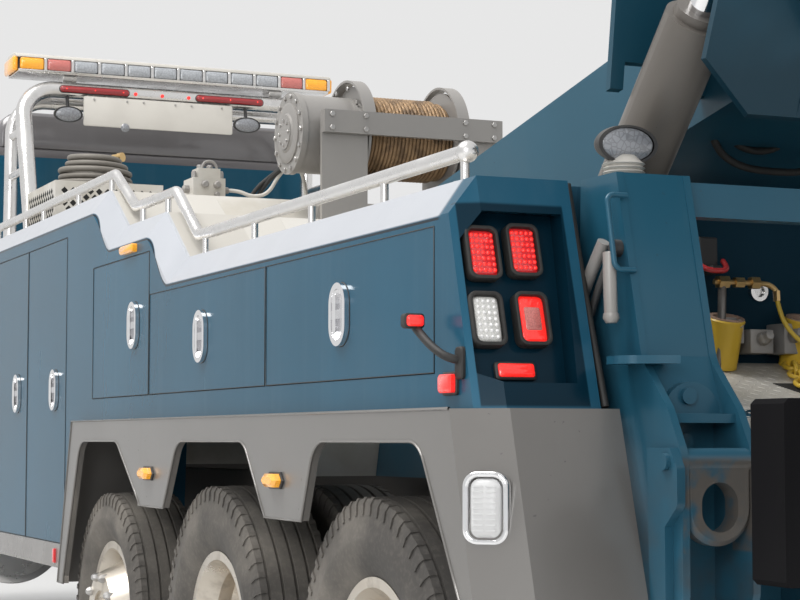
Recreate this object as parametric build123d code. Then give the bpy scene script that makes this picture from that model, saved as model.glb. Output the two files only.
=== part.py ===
from build123d import *
import math
import os

# Heavy tow truck with a fixed recovery boom, a folding underlift and three rear axles.
# Millimetres. +Z up, the front faces -Y, the truck's left is +X.
# The origin is on the ground, below the middle of the whole vehicle.
# Places along the truck are distances ahead of the rear axle or behind it.

# Running gear
axle_pitch = (1370.0, 1340.0)          # rear axle to middle axle, middle axle to pusher axle
wheelbase = 8600.0                     # steered axle to rear axle
front_overhang = 1200.0                # steered axle to the bumper's face
wheel_outer = 1245.0                   # outer wall of every tyre from the centre line
tyre_width = 280.0
twin_gap = 60.0                        # between the two tyres of a pair
drive_radius = 525.0
pusher_radius = 497.0
steer_radius = 530.0
rim_seat = 286.0                       # radius that the tyre's bead sits on
rim_lip = 305.0
rim_width = 210.0
rim_sheet = 10.0
spindle_radius = 42.0
hub_radius = 150.0
hub_cap = 40.0                         # solid end of a hub
single_disc = 150.0                    # mounting plane of a single wheel outside its middle
kingpin_x = 880.0
kingpin_radius = 24.0
spring_x = 390.0
spring_width = 90.0
running = 0.06                         # running clearance of pins in their bores
slack = 0.3                            # between faces that rest on each other across bodies

# Chassis
rail_half = 430.0                      # outer face of a frame rail
rail_flange = 85.0
rail_web = 12.0
rail_low, rail_high = 800.0, 1070.0
rail_start = 60.0                      # rails' front behind the bumper's face
rail_end = 480.0                       # rails' rear behind the rear axle
tank_radius = 300.0
tank_x = 930.0
tank_z = 720.0
tank_gap = 150.0                       # from the tank's ends to the steered wheel's arch and the boxes

# Cab
cab_back = 6350.0                      # cab's rear wall ahead of the rear axle
cab_length = 1500.0
cab_half = 1040.0
cab_floor, cab_roof = 1130.0, 2940.0
cab_wall = 50.0
door_rear = 330.0                      # door's rear edge ahead of the cab's rear wall
door_width = 1050.0
sill = 1190.0
window_sill = 2000.0
gap = 6.0                              # gap round a door
seat_gap = 0.5                         # at a door's hinged edge
hood_half = 580.0
hood_front = 140.0                     # grille's face behind the bumper's face
hood_low, hood_nose, hood_rear_high = 1080.0, 1760.0, 1960.0
hood_wall = 14.0
hood_pin = 18.0
front_fender_half = 1215.0
fender_bevel = 60.0
arch_clear = 640.0
bumper_low, bumper_high = 360.0, 860.0

# Recovery body
side_half = 1250.0                     # side face of the tool boxes
box_depth = 520.0
sheet = 25.0                           # thickness of doors and walls of the boxes
body_front = 5620.0
skirt_low = 652.0                      # foot of the front part, below its doors
cornice_rise = 95.0                    # sloped edge along the body's top
cornice_width = 67.0
corner_setback = 48.0                  # bevel of the body's rear corner, along the truck
riser_run = 280.0                      # length of each sloped step of the top
rear_foot = 760.0                      # rear face at the fender's top, behind the rear axle
rear_rake = 0.286                      # how far the rear face leans forward as it rises
rear_inner = 925.0                     # inner edge of the rear face
recess_depth = 60.0
fender_half = 1300.0
fender_inner = 890.0
fender_top = 1280.0
fender_front = 3047.0
fender_rear = 790.0
fender_rake = 0.317
fender_bevel_rear = 110.0
fender_wall = 24.0
arch_top = 1200.0
arch_corner = 110.0
deck_sheet = 20.0
head_front = 6230.0                    # front of the cabinet behind the cab
head_half = 1150.0
head_high = 2000.0
tray_wall = 12.0
rail_rise = 85.0                       # handrail above the body's top

# One row for each compartment: name, front and rear edge ahead of the rear axle, door's foot and head
compartments = [
    ("tall_1", 5600.0, 4850.0, 757.0, 2080.0),
    ("tall_2", 4850.0, 4096.0, 757.0, 2080.0),
    ("tall_3", 4096.0, 3353.0, 757.0, 2080.0),
    ("upright", 2910.0, 2085.0, 1370.0, 1910.0),
    ("lift_front", 2085.0, 789.0, 1370.0, 1745.0),
    ("lift_rear", 789.0, -491.0, 1370.0, 1745.0),
]
first_lift = 4                         # first row whose door is hinged above
# Steps of the body's top: where each sloped riser starts ahead of the rear axle, height before it
tops = [(2941.0, 2235.0), (2136.0, 2060.0)]
top_rear = 1865.0                      # height behind the last riser
# One row for each arch: front foot and its height, front and rear shoulder, rear foot and its height
arches = [
    (-3163.0, 637.0, -2904.0, -2347.0, -2031.0, 977.0),
    (-1722.0, 965.0, -1560.0, -850.0, -651.0, 974.0),
    (-335.0, 971.0, -235.0, 500.0, 740.0, 820.0),
]

# Winch
winch_y = 2720.0                       # winch axis ahead of the rear axle
winch_z = 2490.0
winch_frame = 220.0                    # from the winch axis to the frame's front and rear faces
gearbox_radius = 165.0
rope_radius = 175.0
rope_left, rope_right = 178.0, -220.0
hoop_radius = 240.0

# Boom, in side view from the rear axle, and its lift cylinders
boom_pivot = (-1400.0, 1950.0)
boom_angle = 10.6
boom_half = 400.0
boom_length = 3480.0
boom_wall = 20.0
boom_pin = 50.0
bracket_half = 700.0                   # outer edge of the cross plates that the cylinders push between
lift_x = 600.0
lift_base = (-540.0, 950.0)
lift_eye = (880.0, 2481.0)
lift_pin = 34.0
barrel_radius = 87.5
rod_radius = 38.0
barrel_length = 1830.0
head_reach = 140.0                     # boom head's cheeks behind the sheave axis
sheave_drop = 20.0                     # sheave axis below the boom's own axis
sheave_radius = 120.0
sheave_places = (-215.0, 215.0)
sheave_width = 110.0                   # room between the two cheeks of a sheave
cheek_wall = 22.0
rope_groove = 45.0                     # half width of a sheave

# Rear columns
column_outer, column_inner = 850.0, 656.0
column_plate = 20.0
column_high = 1875.0
column_foot = 420.0
eye_height = 1045.0                    # middle of the tow eye's opening
eye_behind = 995.0

# Underlift
fold_pivot = (1180.0, 470.0)           # lateral axis at the foot of the folded arm
fold_pin = 40.0
arm_half = 170.0
arm_deep = 90.0
arm_wall = 15.0
arm_length = 520.0
stinger_pin = 620.0                    # crossbar's pin above the fold axis
swivel_radius = 45.0
crossbar_half = 845.0
crossbar_height = 200.0
receiver_width = 260.0
receiver_height = 410.0
crossbar_deep = 110.0

boom_slope = math.radians(boom_angle)
rear_reach = (boom_pivot[0] + (boom_length - head_reach) * math.cos(boom_slope)
              + sheave_drop * math.sin(boom_slope) + head_reach)
ya = (wheelbase + front_overhang - rear_reach) / 2.0      # rear axle in the part's own frame
y_bumper = ya - wheelbase - front_overhang
y_steer = ya - wheelbase
y_axles = (ya, ya - axle_pitch[0], ya - sum(axle_pitch))
y_cab_back = ya - cab_back
y_cab_front = y_cab_back - cab_length
hood_axis = (y_bumper + hood_front - 55.0, hood_low - 40.0)
single_middle = wheel_outer - tyre_width / 2.0
twin_middle = wheel_outer - tyre_width - twin_gap / 2.0
single_hub_end = single_middle + single_disc + 45.0
twin_hub_end = twin_middle + 190.0
box_inner = side_half - box_depth
rail_x = side_half - 120.0
pylon_x = box_inner + 170.0


def ahead(distance):
    """Y of a place ahead of the rear axle."""
    return ya - distance


def behind(distance):
    """Y of a place behind the rear axle."""
    return ya + distance


def span(side, inner, outer):
    """Limits along X between two distances from the centre line, on one side."""
    return tuple(sorted((side * inner, side * outer)))


def block(x, y, z):
    """Box between pairs of limits along X, Y and Z."""
    size = [hi - lo for lo, hi in (x, y, z)]
    middle = [(hi + lo) / 2.0 for lo, hi in (x, y, z)]
    return Pos(*middle) * Box(*size)


def rounded(points, corners):
    """Outline through points, with the corners that are named by number rounded to a radius."""
    shape = Polygon(*points, align=None)
    for number, radius in corners:
        corner = min(shape.vertices(), key=lambda v: math.dist((v.X, v.Y), points[number]))
        shape = fillet(corner, radius)
    return shape


def flat(outline):
    """An outline as a sketch, from a list of points or a sketch already."""
    return Polygon(*outline, align=None) if isinstance(outline, list) else outline


def side_plate(outline, x0, x1):
    """Outline in side view (Y, Z), as thick as x0 to x1."""
    return extrude(Plane.YZ.offset(x0) * flat(outline), x1 - x0, dir=(1, 0, 0))


def cross_plate(outline, y0, y1):
    """Outline in rear view (X, Z), as thick as y0 to y1."""
    return extrude(Plane.XZ.offset(-y0) * flat(outline), y1 - y0, dir=(0, 1, 0))


def floor_plate(outline, z0, z1):
    """Outline in plan (X, Y), as thick as z0 to z1."""
    return extrude(Plane.XY.offset(z0) * flat(outline), z1 - z0, dir=(0, 0, 1))


def rod_x(radius, x0, x1, y, z):
    """Round bar along X."""
    return Pos((x0 + x1) / 2.0, y, z) * Rot(0, 90, 0) * Cylinder(radius, abs(x1 - x0))


def rod_y(radius, y0, y1, x, z):
    """Round bar along Y."""
    return Pos(x, (y0 + y1) / 2.0, z) * Rot(90, 0, 0) * Cylinder(radius, abs(y1 - y0))


def rod_z(radius, z0, z1, x, y):
    """Round bar along Z."""
    return Pos(x, y, (z0 + z1) / 2.0) * Cylinder(radius, abs(z1 - z0))


def oval_x(width, height, x0, x1, y, z):
    """Oval plate that faces sideways, longer along Y or along Z."""
    turn = 0.0 if height > width else 90.0
    shape = Rot(0, 0, turn) * SlotOverall(max(width, height), min(width, height))
    return extrude(Pos(x0, y, z) * Rot(0, 90, 0) * shape, x1 - x0, dir=(1, 0, 0))


def oval_y(width, height, y0, y1, x, z):
    """Oval plate that faces along the truck, longer along X or along Z."""
    turn = 90.0 if height > width else 0.0
    shape = Rot(0, 0, turn) * SlotOverall(max(width, height), min(width, height))
    return extrude(Pos(x, y0, z) * Rot(90, 0, 0) * shape, y1 - y0, dir=(0, 1, 0))


def tube(points, radius, bend):
    """Round tube through points, with every corner bent to one radius."""
    path = FilletPolyline(*points, radius=bend) if len(points) > 2 else Line(*points)
    start = Plane(origin=path @ 0, z_dir=path % 0)
    return sweep(start * Circle(radius), path=path)


def both(shape):
    """A piece and its mirror image on the other side of the truck."""
    return [shape, mirror(shape, about=Plane.YZ)]


def gather(*items):
    """One list of solids from shapes and lists of shapes."""
    solids = []
    for item in items:
        for shape in item if isinstance(item, (list, tuple)) else [item]:
            solids.extend(shape.solids())
    return solids


def turned(profile, x, y, z, side):
    """Revolve a profile of (axial, radius) points about a wheel's axis. Axial grows outward."""
    points = [(side * a, r) for a, r in profile]
    return Pos(x, y, z) * revolve(Plane.XY * Polygon(*points, align=None), Axis.X)


# Wheels
def tyre(radius, middle, y, side):
    """Tyre section: bead, bulging wall, shoulder and crown."""
    half = tyre_width / 2.0
    wall = radius - rim_seat
    seat = rim_seat + slack
    bead = rim_width / 2.0 - rim_sheet - 3.0
    profile = [
        (-bead, seat), (-bead, rim_lip + 2.0), (-half, seat + 0.5 * wall),
        (-half + 10.0, seat + 0.8 * wall), (-half + 34.0, radius - 5.0), (-half * 0.4, radius),
    ]
    profile = profile + [(-a, r) for a, r in reversed(profile)]
    return turned(profile, side * middle, y, radius, side)


def rim(middle, y, z, side, disc, flip=1):
    """Rim barrel and its dished disc, whose mounting plane lies at an axial place from the middle."""
    half = rim_width / 2.0
    lip, seat, drop = rim_lip, rim_seat, rim_seat - 34.0
    inner = drop - rim_sheet
    root = 20.0 if disc > 0 else -20.0
    face = rim_sheet * 0.6
    profile = [
        (-half, lip), (-half + rim_sheet, lip), (-half + rim_sheet + 2.0, seat), (-half + 50.0, seat),
        (-30.0, drop), (30.0, drop), (half - 50.0, seat), (half - rim_sheet - 2.0, seat),
        (half - rim_sheet, lip), (half, lip), (half, seat - rim_sheet), (36.0, inner), (root + 8.0, inner),
        (disc + face, hub_radius + 30.0), (disc + face, hub_radius - 40.0),
        (disc - face, hub_radius - 40.0),
        (disc - face, hub_radius + 26.0), (root - 8.0, inner), (-36.0, inner), (-half, seat - rim_sheet),
    ]
    return turned([(flip * a, r) for a, r in profile], side * middle, y, z, side)


def hub(outer, flange, inner, y, z, side):
    """Hub that runs on the spindle: inner end, flange face under the disc and capped outer end."""
    bore = spindle_radius + running
    neck = hub_radius - 34.0
    profile = [
        (inner, bore), (outer - hub_cap, bore), (outer - hub_cap, 0.0), (outer, 0.0), (outer, neck / 2.0),
        (outer - 12.0, neck / 1.7), (flange, neck / 1.4), (flange, hub_radius), (flange - 25.0, hub_radius),
        (flange - 25.0, neck), (inner, neck),
    ]
    return turned(profile, 0.0, y, z, side)


def single_wheel(radius, y, side):
    """Tyre and rim of a single wheel."""
    rubber = tyre(radius, single_middle, y, side)
    metal = rim(single_middle, y, radius, side, single_disc)
    metal += hub(single_hub_end, single_middle + single_disc - 4.0, single_middle + 40.0, y, radius, side)
    return rubber, metal


def twin_wheel(y, side):
    """Pair of tyres on two rims that meet back to back on one hub."""
    offset = (tyre_width + twin_gap) / 2.0
    rubber = gather(tyre(drive_radius, twin_middle + offset, y, side),
                    tyre(drive_radius, twin_middle - offset, y, side))
    disc = rim_sheet * 0.6 - offset
    metal = rim(twin_middle + offset, y, drive_radius, side, disc)
    metal += rim(twin_middle - offset, y, drive_radius, side, disc, flip=-1)
    metal += hub(twin_hub_end, twin_middle - 10.0, twin_middle - 120.0, y, drive_radius, side)
    return rubber, metal


# Chassis and axles
def chassis_frame():
    """Two channel rails, crossmembers, cab mounts, hinge pins and pins of the lift cylinders."""
    rail_front, rail_rear = y_bumper + rail_start, behind(rail_end)
    rails = block((rail_half - rail_web, rail_half), (rail_front, rail_rear), (rail_low, rail_high))
    for z in (rail_low, rail_high - rail_web):
        rails += block((rail_half - rail_flange, rail_half), (rail_front, rail_rear), (z, z + rail_web))
    frame = rails + mirror(rails, about=Plane.YZ)
    crossmembers = [rail_front + 60.0, y_steer + 900.0, y_cab_back, ahead(4400.0), ahead(3350.0)]
    crossmembers += [(y_axles[1] + y_axles[2]) / 2.0, (y_axles[0] + y_axles[1]) / 2.0, rail_rear - 60.0]
    for y in crossmembers:
        reach = rail_half - rail_web
        frame += rod_x(45.0, -reach, reach, y, (rail_low + rail_high) / 2.0)
    base = (behind(lift_base[0]), lift_base[1])
    root = rail_half - 6.0
    pin = rod_x(lift_pin, root, lift_x + 60.0, *base) + rod_x(2.0 * lift_pin, root, lift_x - 45.0, *base)
    mount = block((rail_half - rail_flange, rail_half), (y_cab_back - 260.0, y_cab_back - 160.0),
                  (rail_high, cab_floor))
    mount += block((rail_half - rail_flange, rail_half), (y_cab_front + 120.0, y_cab_front + 220.0),
                   (rail_high, cab_floor))
    hinge = rod_x(hood_pin, root, hood_half - 1.0, *hood_axis)
    for piece in both(pin) + both(mount) + both(hinge):
        frame += piece
    return frame


def spring_pack(y, z, reach):
    """Leaf spring under one rail with its seat and two hangers."""
    x = (spring_x - spring_width / 2.0, spring_x + spring_width / 2.0)
    pack = block(x, (y - reach, y + reach), (z, z + 40.0))
    pack += block(x, (y - 0.6 * reach, y + 0.6 * reach), (z + 40.0, z + 70.0))
    for end in (y - reach + 30.0, y + reach - 30.0):
        pack += block((x[0] + 15.0, x[1] - 15.0), (end - 30.0, end + 30.0), (z + 40.0, rail_low))
    return pack


def axles():
    """Steered beam, pusher beam and two driven axles with their spindles and springs."""
    beam_z = steer_radius - 60.0
    beam = block((-kingpin_x + 130.0, kingpin_x - 130.0), (y_steer - 50.0, y_steer + 50.0),
                 (beam_z - 110.0, beam_z - 10.0))
    for side in (-1, 1):
        neck = [(side * (kingpin_x - 135.0), beam_z - 110.0), (side * (kingpin_x - 47.0), beam_z - 55.0),
                (side * (kingpin_x - 47.0), beam_z + 55.0), (side * (kingpin_x - 135.0), beam_z - 10.0)]
        beam += rod_z(50.0, beam_z - 60.0, beam_z + 60.0, side * kingpin_x, y_steer)
        beam += cross_plate(neck, y_steer - 40.0, y_steer + 40.0)
        beam -= rod_z(kingpin_radius + running, beam_z - 100.0, beam_z + 100.0, side * kingpin_x, y_steer)
    for spring in both(spring_pack(y_steer, beam_z - 10.0, 620.0)):
        beam += spring
    pieces = [beam]
    for index, y in enumerate(y_axles):
        driven = index < 2
        z = drive_radius if driven else pusher_radius
        inner = 700.0 if driven else 900.0
        tip = (twin_hub_end if driven else single_hub_end) - hub_cap - 2.0
        casing = rod_x(65.0, -inner, inner, y, z)
        if driven:
            bulge = [(-190.0, 0.0), (-190.0, 60.0), (-70.0, 205.0), (70.0, 205.0), (190.0, 60.0),
                     (190.0, 0.0)]
            casing += turned(bulge, 0.0, y, z, 1) + rod_y(60.0, y - 330.0, y - 100.0, 0.0, z + 40.0)
        for side in (-1, 1):
            casing += rod_x(spindle_radius, side * inner, side * tip, y, z)
        for spring in both(spring_pack(y, z + 30.0, 480.0)):
            casing += spring
        pieces.append(casing)
    return gather(pieces)


def knuckle(side):
    """Forked steering knuckle with its kingpin and its spindle."""
    z = steer_radius
    beam_z = z - 60.0
    x = side * kingpin_x
    seat, end = 60.0 + slack, 95.0
    fork = rod_z(46.0, beam_z + seat, beam_z + end, x, y_steer)
    fork += rod_z(46.0, beam_z - end, beam_z - seat, x, y_steer)
    fork += rod_z(kingpin_radius, beam_z - end, beam_z + end, x, y_steer)
    fork += block(span(side, kingpin_x + 50.0, kingpin_x + 90.0), (y_steer - 60.0, y_steer + 60.0),
                  (beam_z - end, beam_z + 130.0))
    for low in (beam_z - end, beam_z + seat):
        fork += block(span(side, kingpin_x, kingpin_x + 60.0), (y_steer - 40.0, y_steer + 40.0),
                      (low, low + end - seat))
    fork += rod_x(spindle_radius, side * (kingpin_x + 70.0), side * (single_hub_end - hub_cap - 2.0),
                  y_steer, z)
    return fork


def side_tanks():
    """Round fuel tank on each side with its brackets on the rail and two steps below the cab door."""
    y0 = y_steer + arch_clear + tank_gap
    y1 = ahead(body_front) - tank_gap
    tank = fillet(rod_y(tank_radius, y0, y1, tank_x, tank_z).edges().filter_by(GeomType.CIRCLE), 40.0)
    for y in (y0 + 250.0, (y0 + y1) / 2.0, y1 - 250.0):
        tank += rod_y(tank_radius + 6.0, y - 30.0, y + 30.0, tank_x, tank_z)
        tank += block((rail_half, tank_x), (y - 30.0, y + 30.0), (tank_z, tank_z + 180.0))
    for low in (tank_z - 190.0, tank_z + 130.0):
        tank += block((tank_x, wheel_outer - 5.0), (y_cab_front + 350.0, y_cab_front + 950.0),
                      (low, low + 30.0))
    return gather(both(tank))


# Cab and bonnet
def cab_volume(inset):
    """Closed cab form, drawn in by an inset on every side."""
    yb, yf = y_cab_back - inset, y_cab_front + inset
    zf, zr = cab_floor + inset, cab_roof - inset
    side_view = rounded([(yb, zf), (yb, zr), (yf + 500.0, zr), (yf + 180.0, 2080.0), (yf, 1980.0 - inset),
                         (yf, zf)],
                        ((1, 90.0 - inset / 2.0), (2, 150.0)))
    w = cab_half - inset
    front_view = rounded([(-w, zf), (w, zf), (w - 60.0, zr), (-w + 60.0, zr)],
                         ((2, 170.0 - inset / 2.0), (3, 170.0 - inset / 2.0)))
    return side_plate(side_view, -w, w) & cross_plate(front_view, yf - 10.0, yb + 10.0)


def door_outline(grow):
    """Cab door in side view, grown by a gap on every side."""
    y1 = y_cab_back - door_rear + grow
    y0 = y_cab_back - door_rear - door_width - (seat_gap if grow else 0.0)
    return [(y0, sill - grow), (y1, sill - grow), (y1, cab_roof - 260.0 + grow),
            (y0 + 230.0, cab_roof - 260.0 + grow), (y0, window_sill + 190.0)]


def window_outline():
    """Window in the cab door."""
    y1 = y_cab_back - door_rear - 90.0
    y0 = y_cab_back - door_rear - door_width + 90.0
    return [(y0, window_sill), (y1, window_sill), (y1, cab_roof - 340.0), (y0 + 190.0, cab_roof - 340.0),
            (y0, window_sill + 170.0)]


# Panes of the cab that don't open: limits along X, along Y from the cab's front, and along Z
windshield = [((-850.0, -30.0), (2170.0, 2740.0)), ((30.0, 850.0), (2170.0, 2740.0))]
rear_window = ((-620.0, 620.0), (2050.0, 2640.0))


def cab_shell():
    """Hollow cab with openings for doors, rear window and split windshield, and a sun visor."""
    outer = cab_volume(0.0)
    shell = outer - cab_volume(cab_wall)
    for side in (-1, 1):
        shell -= side_plate(door_outline(gap), *span(side, cab_half - 130.0, cab_half + 20.0))
    for x, z in windshield:
        shell -= block(x, (y_cab_front - 10.0, y_cab_front + 480.0), z)
    x, z = rear_window
    shell -= block(x, (y_cab_back - 80.0, y_cab_back + 20.0), z)
    visor = side_plate([(y_cab_front + 250.0, 2790.0), (y_cab_front + 480.0, 2900.0),
                        (y_cab_front + 480.0, 2870.0),
                        (y_cab_front + 260.0, 2765.0)], -820.0, 820.0)
    return shell + (visor - outer)


def cab_glass():
    """Split windshield and the rear window, set in the cab's wall."""
    skin = cab_volume(18.0) - cab_volume(30.0)
    panes = [skin & block(x, (y_cab_front - 10.0, y_cab_front + 480.0), z) for x, z in windshield]
    x, z = rear_window
    panes.append(skin & block(x, (y_cab_back - 60.0, y_cab_back + 20.0), z))
    return gather(panes)


def cab_door(side):
    """Door that follows the cab's side, with its handle and mirror, and its pane."""
    form = cab_volume(0.0)
    inner = cab_volume(cab_wall)
    reach = span(side, cab_half - 130.0, cab_half + 20.0)
    panel = (form & side_plate(door_outline(0.0), *reach)) - inner - side_plate(window_outline(), *reach)
    panel = max(panel.solids(), key=lambda s: s.volume)
    y = y_cab_back - door_rear - 130.0
    panel += block(span(side, cab_half - 45.0, cab_half + 22.0), (y - 80.0, y + 80.0), (1850.0, 1875.0))
    y = y_cab_back - door_rear - door_width + 140.0
    arm = side * (cab_half + 200.0)
    panel += block(span(side, cab_half - 45.0, cab_half + 200.0), (y - 12.0, y + 12.0), (1950.0, 1974.0))
    panel += rod_z(12.0, 1950.0, 2500.0, arm, y)
    head = block(span(side, cab_half + 120.0, cab_half + 320.0), (y - 50.0, y + 50.0), (2030.0, 2540.0))
    panel += fillet(head.edges().filter_by(Axis.Y), 40.0)
    skin = cab_volume(24.0) - cab_volume(32.0)
    pane = skin & side_plate(window_outline(), *span(side, cab_half - 130.0, cab_half))
    return panel, max(pane.solids(), key=lambda s: s.volume)


def cab_interior():
    """Dash with the steering wheel, and two seats."""
    y0 = y_cab_front + cab_wall
    floor = cab_floor + cab_wall
    dash = side_plate([(y0, floor + 420.0), (y0 + 260.0, floor + 420.0), (y0 + 330.0, floor + 620.0),
                       (y0 + 150.0, 1890.0), (y0, 1890.0)], -cab_half + cab_wall + 25.0,
                       cab_half - cab_wall - 25.0)
    wheel_at = Pos(480.0, y0 + 560.0, floor + 760.0) * Rot(-60, 0, 0)
    dash += wheel_at * Cylinder(225.0, 30.0) - wheel_at * Cylinder(190.0, 40.0) + wheel_at * Box(430.0,
                                                                                                 45.0, 20.0)
    dash += Pos(480.0, y0 + 430.0, floor + 670.0) * Rot(-60, 0, 0) * Cylinder(28.0, 330.0)
    pieces = [dash]
    for side in (-1, 1):
        x = (side * 480.0 - 250.0, side * 480.0 + 250.0)
        seat_y = y0 + 780.0
        seat = block(x, (seat_y, seat_y + 500.0), (floor + 330.0, floor + 470.0))
        seat += side_plate([(seat_y + 400.0, floor + 470.0), (seat_y + 520.0, floor + 470.0),
                            (seat_y + 620.0, floor + 1150.0), (seat_y + 520.0, floor + 1150.0)], *x)
        seat += block((x[0] + 120.0, x[1] - 120.0), (seat_y + 120.0, seat_y + 380.0),
                      (floor, floor + 330.0))
        pieces.append(seat)
    return gather(pieces)


def hood_section(y, high, inset):
    """Bonnet in front view at one place, drawn in by its wall."""
    w = hood_half - inset
    top = high - inset
    points = [(-w, hood_low - inset), (w, hood_low - inset), (w, top), (-w, top)]
    return Plane.XZ.offset(-y) * rounded(points, ((2, 130.0 - inset), (3, 130.0 - inset)))


def front_fender(inset):
    """Closed form of a front fender on the left, drawn in by its wall."""
    yf, yr = y_bumper + hood_front + 60.0 + inset, y_cab_front - 20.0 - inset
    crown = steer_radius + arch_clear + 60.0 - inset
    outline = [(yf, 760.0), (yf, 1000.0 - inset), (y_steer - 480.0, crown), (y_steer + 430.0, crown),
               (yr, 1130.0 - inset), (yr - 60.0, 700.0), (y_steer - 700.0, 700.0)]
    if inset:
        outline = [(yf, 690.0)] + outline[1:5] + [(yr - 60.0, 690.0)]
    form = side_plate(outline, hood_half - 5.0 + inset / 2.0, front_fender_half - inset)
    outer = front_fender_half - inset
    edges = [e for e in form.edges() if abs(e.center().X - outer) < 1.0 and e.center().Z > 1010.0 - inset]
    return chamfer(edges, fender_bevel)


def hood_shell():
    """Bonnet with its two front fenders, one tilting piece, open below and behind."""
    yf, yr = y_bumper + hood_front, y_cab_front - 20.0
    shell = loft([hood_section(yf, hood_nose, 0.0), hood_section(yr, hood_rear_high, 0.0)], ruled=True)
    shell -= loft([hood_section(yf + hood_wall, hood_nose, hood_wall),
                   hood_section(yr + 5.0, hood_rear_high, hood_wall)], ruled=True)
    shell -= block((-420.0, 420.0), (yf - 5.0, yf + hood_wall + 5.0), (hood_low - 5.0, hood_nose - 120.0))
    fender = front_fender(0.0) - front_fender(hood_wall)
    fender -= rod_x(arch_clear, hood_half + 2.0, front_fender_half + 15.0, y_steer, steer_radius)
    fender += block((hood_half - 20.0, hood_half), (hood_axis[0] - 40.0, yf + 20.0),
                    (hood_axis[1] - 45.0, hood_low + 50.0))
    for piece in both(fender):
        shell += piece
    shell -= rod_x(hood_pin + running, -hood_half - 10.0, hood_half + 10.0, *hood_axis)
    return shell


def grille(hood):
    """Radiator grille with vertical bars, and two headlamp pods on the fenders."""
    yf = y_bumper + hood_front
    frame = block((-420.0, 420.0), (yf - 20.0, yf + 30.0), (hood_low + 10.0, hood_nose - 125.0))
    frame -= block((-390.0, 390.0), (yf - 30.0, yf + 40.0), (hood_low + 40.0, hood_nose - 155.0))
    bars = 13
    for index in range(bars):
        x = (index - (bars - 1) / 2.0) * 60.0
        frame += block((x - 6.0, x + 6.0), (yf - 10.0, yf + 20.0), (hood_low + 30.0, hood_nose - 145.0))
    pods = []
    for side in (-1, 1):
        pod = block(span(side, 700.0, 1080.0), (yf + 20.0, yf + 190.0), (1020.0, 1250.0))
        pods.append(fillet(pod.edges().filter_by(Axis.Y), 40.0) - hood)
    return gather(frame, pods)


def front_bumper():
    """Deep wrap bumper on two brackets of the frame, with a tow pin in front of each."""
    y, half = y_bumper, wheel_outer - 5.0
    wall = 16.0
    plan = [(-half, y + 330.0), (-half, y + 120.0), (-half + 160.0, y), (half - 160.0, y),
            (half, y + 120.0),
            (half, y + 330.0), (half - wall, y + 330.0), (half - wall, y + 128.0), (half - 168.0, y + wall),
            (-half + 168.0, y + wall), (-half + wall, y + 128.0), (-half + wall, y + 330.0)]
    bar = floor_plate(plan, bumper_low, bumper_high)
    for side in (-1, 1):
        bar -= block(span(side, rail_half - 70.0, rail_half - 10.0), (y - 10.0, y + wall + 10.0),
                     (600.0, 720.0))
        bar += block(span(side, rail_half - 80.0, rail_half - 5.0), (y + wall - 4.0, y + rail_start),
                     (rail_low - 60.0, bumper_high))
    return bar


# Recovery body
def rear_face(z, inward=0.0):
    """Y of the body's raked rear face at a height."""
    return behind(rear_foot - inward) - (z - fender_top) * rear_rake


def body_outline(drop, setback):
    """Tool boxes in side view, with the top lowered by drop and the rear face drawn in by setback."""
    points = [(ahead(body_front), skirt_low), (ahead(compartments[2][2] - 20.0), skirt_low),
              (ahead(compartments[2][2] - 80.0), fender_top), (rear_face(fender_top, setback), fender_top)]
    points.append((rear_face(top_rear - drop, setback), top_rear - drop))
    lower = top_rear
    for start, height in reversed(tops):
        shift = (cornice_rise - drop) * math.tan(math.atan2(height - lower, riser_run) / 2.0)
        points.append((ahead(start - riser_run) + shift, lower - drop))
        points.append((ahead(start) + shift, height - drop))
        lower = height
    points.append((ahead(body_front), lower - drop))
    return points


def lamp_recess():
    """Cutter for the recess of the tail lamps in the left box's rear face."""
    frame = [(980.0, 1343.0), (1178.0, 1343.0), (1234.0, 1366.0), (1234.0, 1703.0), (1180.0, 1774.0),
             (958.0, 1774.0)]
    low, high = 1300.0, 1820.0
    slab = [(rear_face(low, recess_depth), low), (rear_face(low, -200.0), low),
            (rear_face(high, -200.0), high),
            (rear_face(high, recess_depth), high)]
    return cross_plate(frame, behind(300.0), behind(1200.0)) & side_plate(slab, rear_inner,
                                                                          side_half + 10.0)


def tool_boxes():
    """Left and right rows of boxes with a sloped cornice, each compartment hollow behind its door."""
    x0, x1 = box_inner, side_half
    edge = x1 - cornice_width
    row = side_plate(body_outline(0.0, 0.0), x0, edge)
    row += loft([Plane.YZ.offset(edge) * flat(body_outline(0.0, 0.0)),
                 Plane.YZ.offset(x1) * flat(body_outline(cornice_rise, corner_setback))], ruled=True)
    for name, front, rear, low, high in compartments:
        row -= block((x0 + sheet, x1 + 5.0), (ahead(front - sheet), ahead(rear + sheet)),
                     (low + sheet, high - sheet))
        row -= block((x1 - sheet - 3.0, x1 + 5.0), (ahead(front - gap / 2.0), ahead(rear + gap / 2.0)),
                     (low, high))
    row -= lamp_recess()
    row -= block((x0 - 5.0, rear_inner), (behind(500.0), behind(1000.0)),
                 (fender_top - 10.0, top_rear + 10.0))
    return gather(both(row))


def door_hinge(index):
    """Place of a tool-box door's hinge: its front edge along Y and its head along Z."""
    name, front, rear, low, high = compartments[index]
    return ahead(front - gap / 2.0) + seat_gap, high - seat_gap


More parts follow.
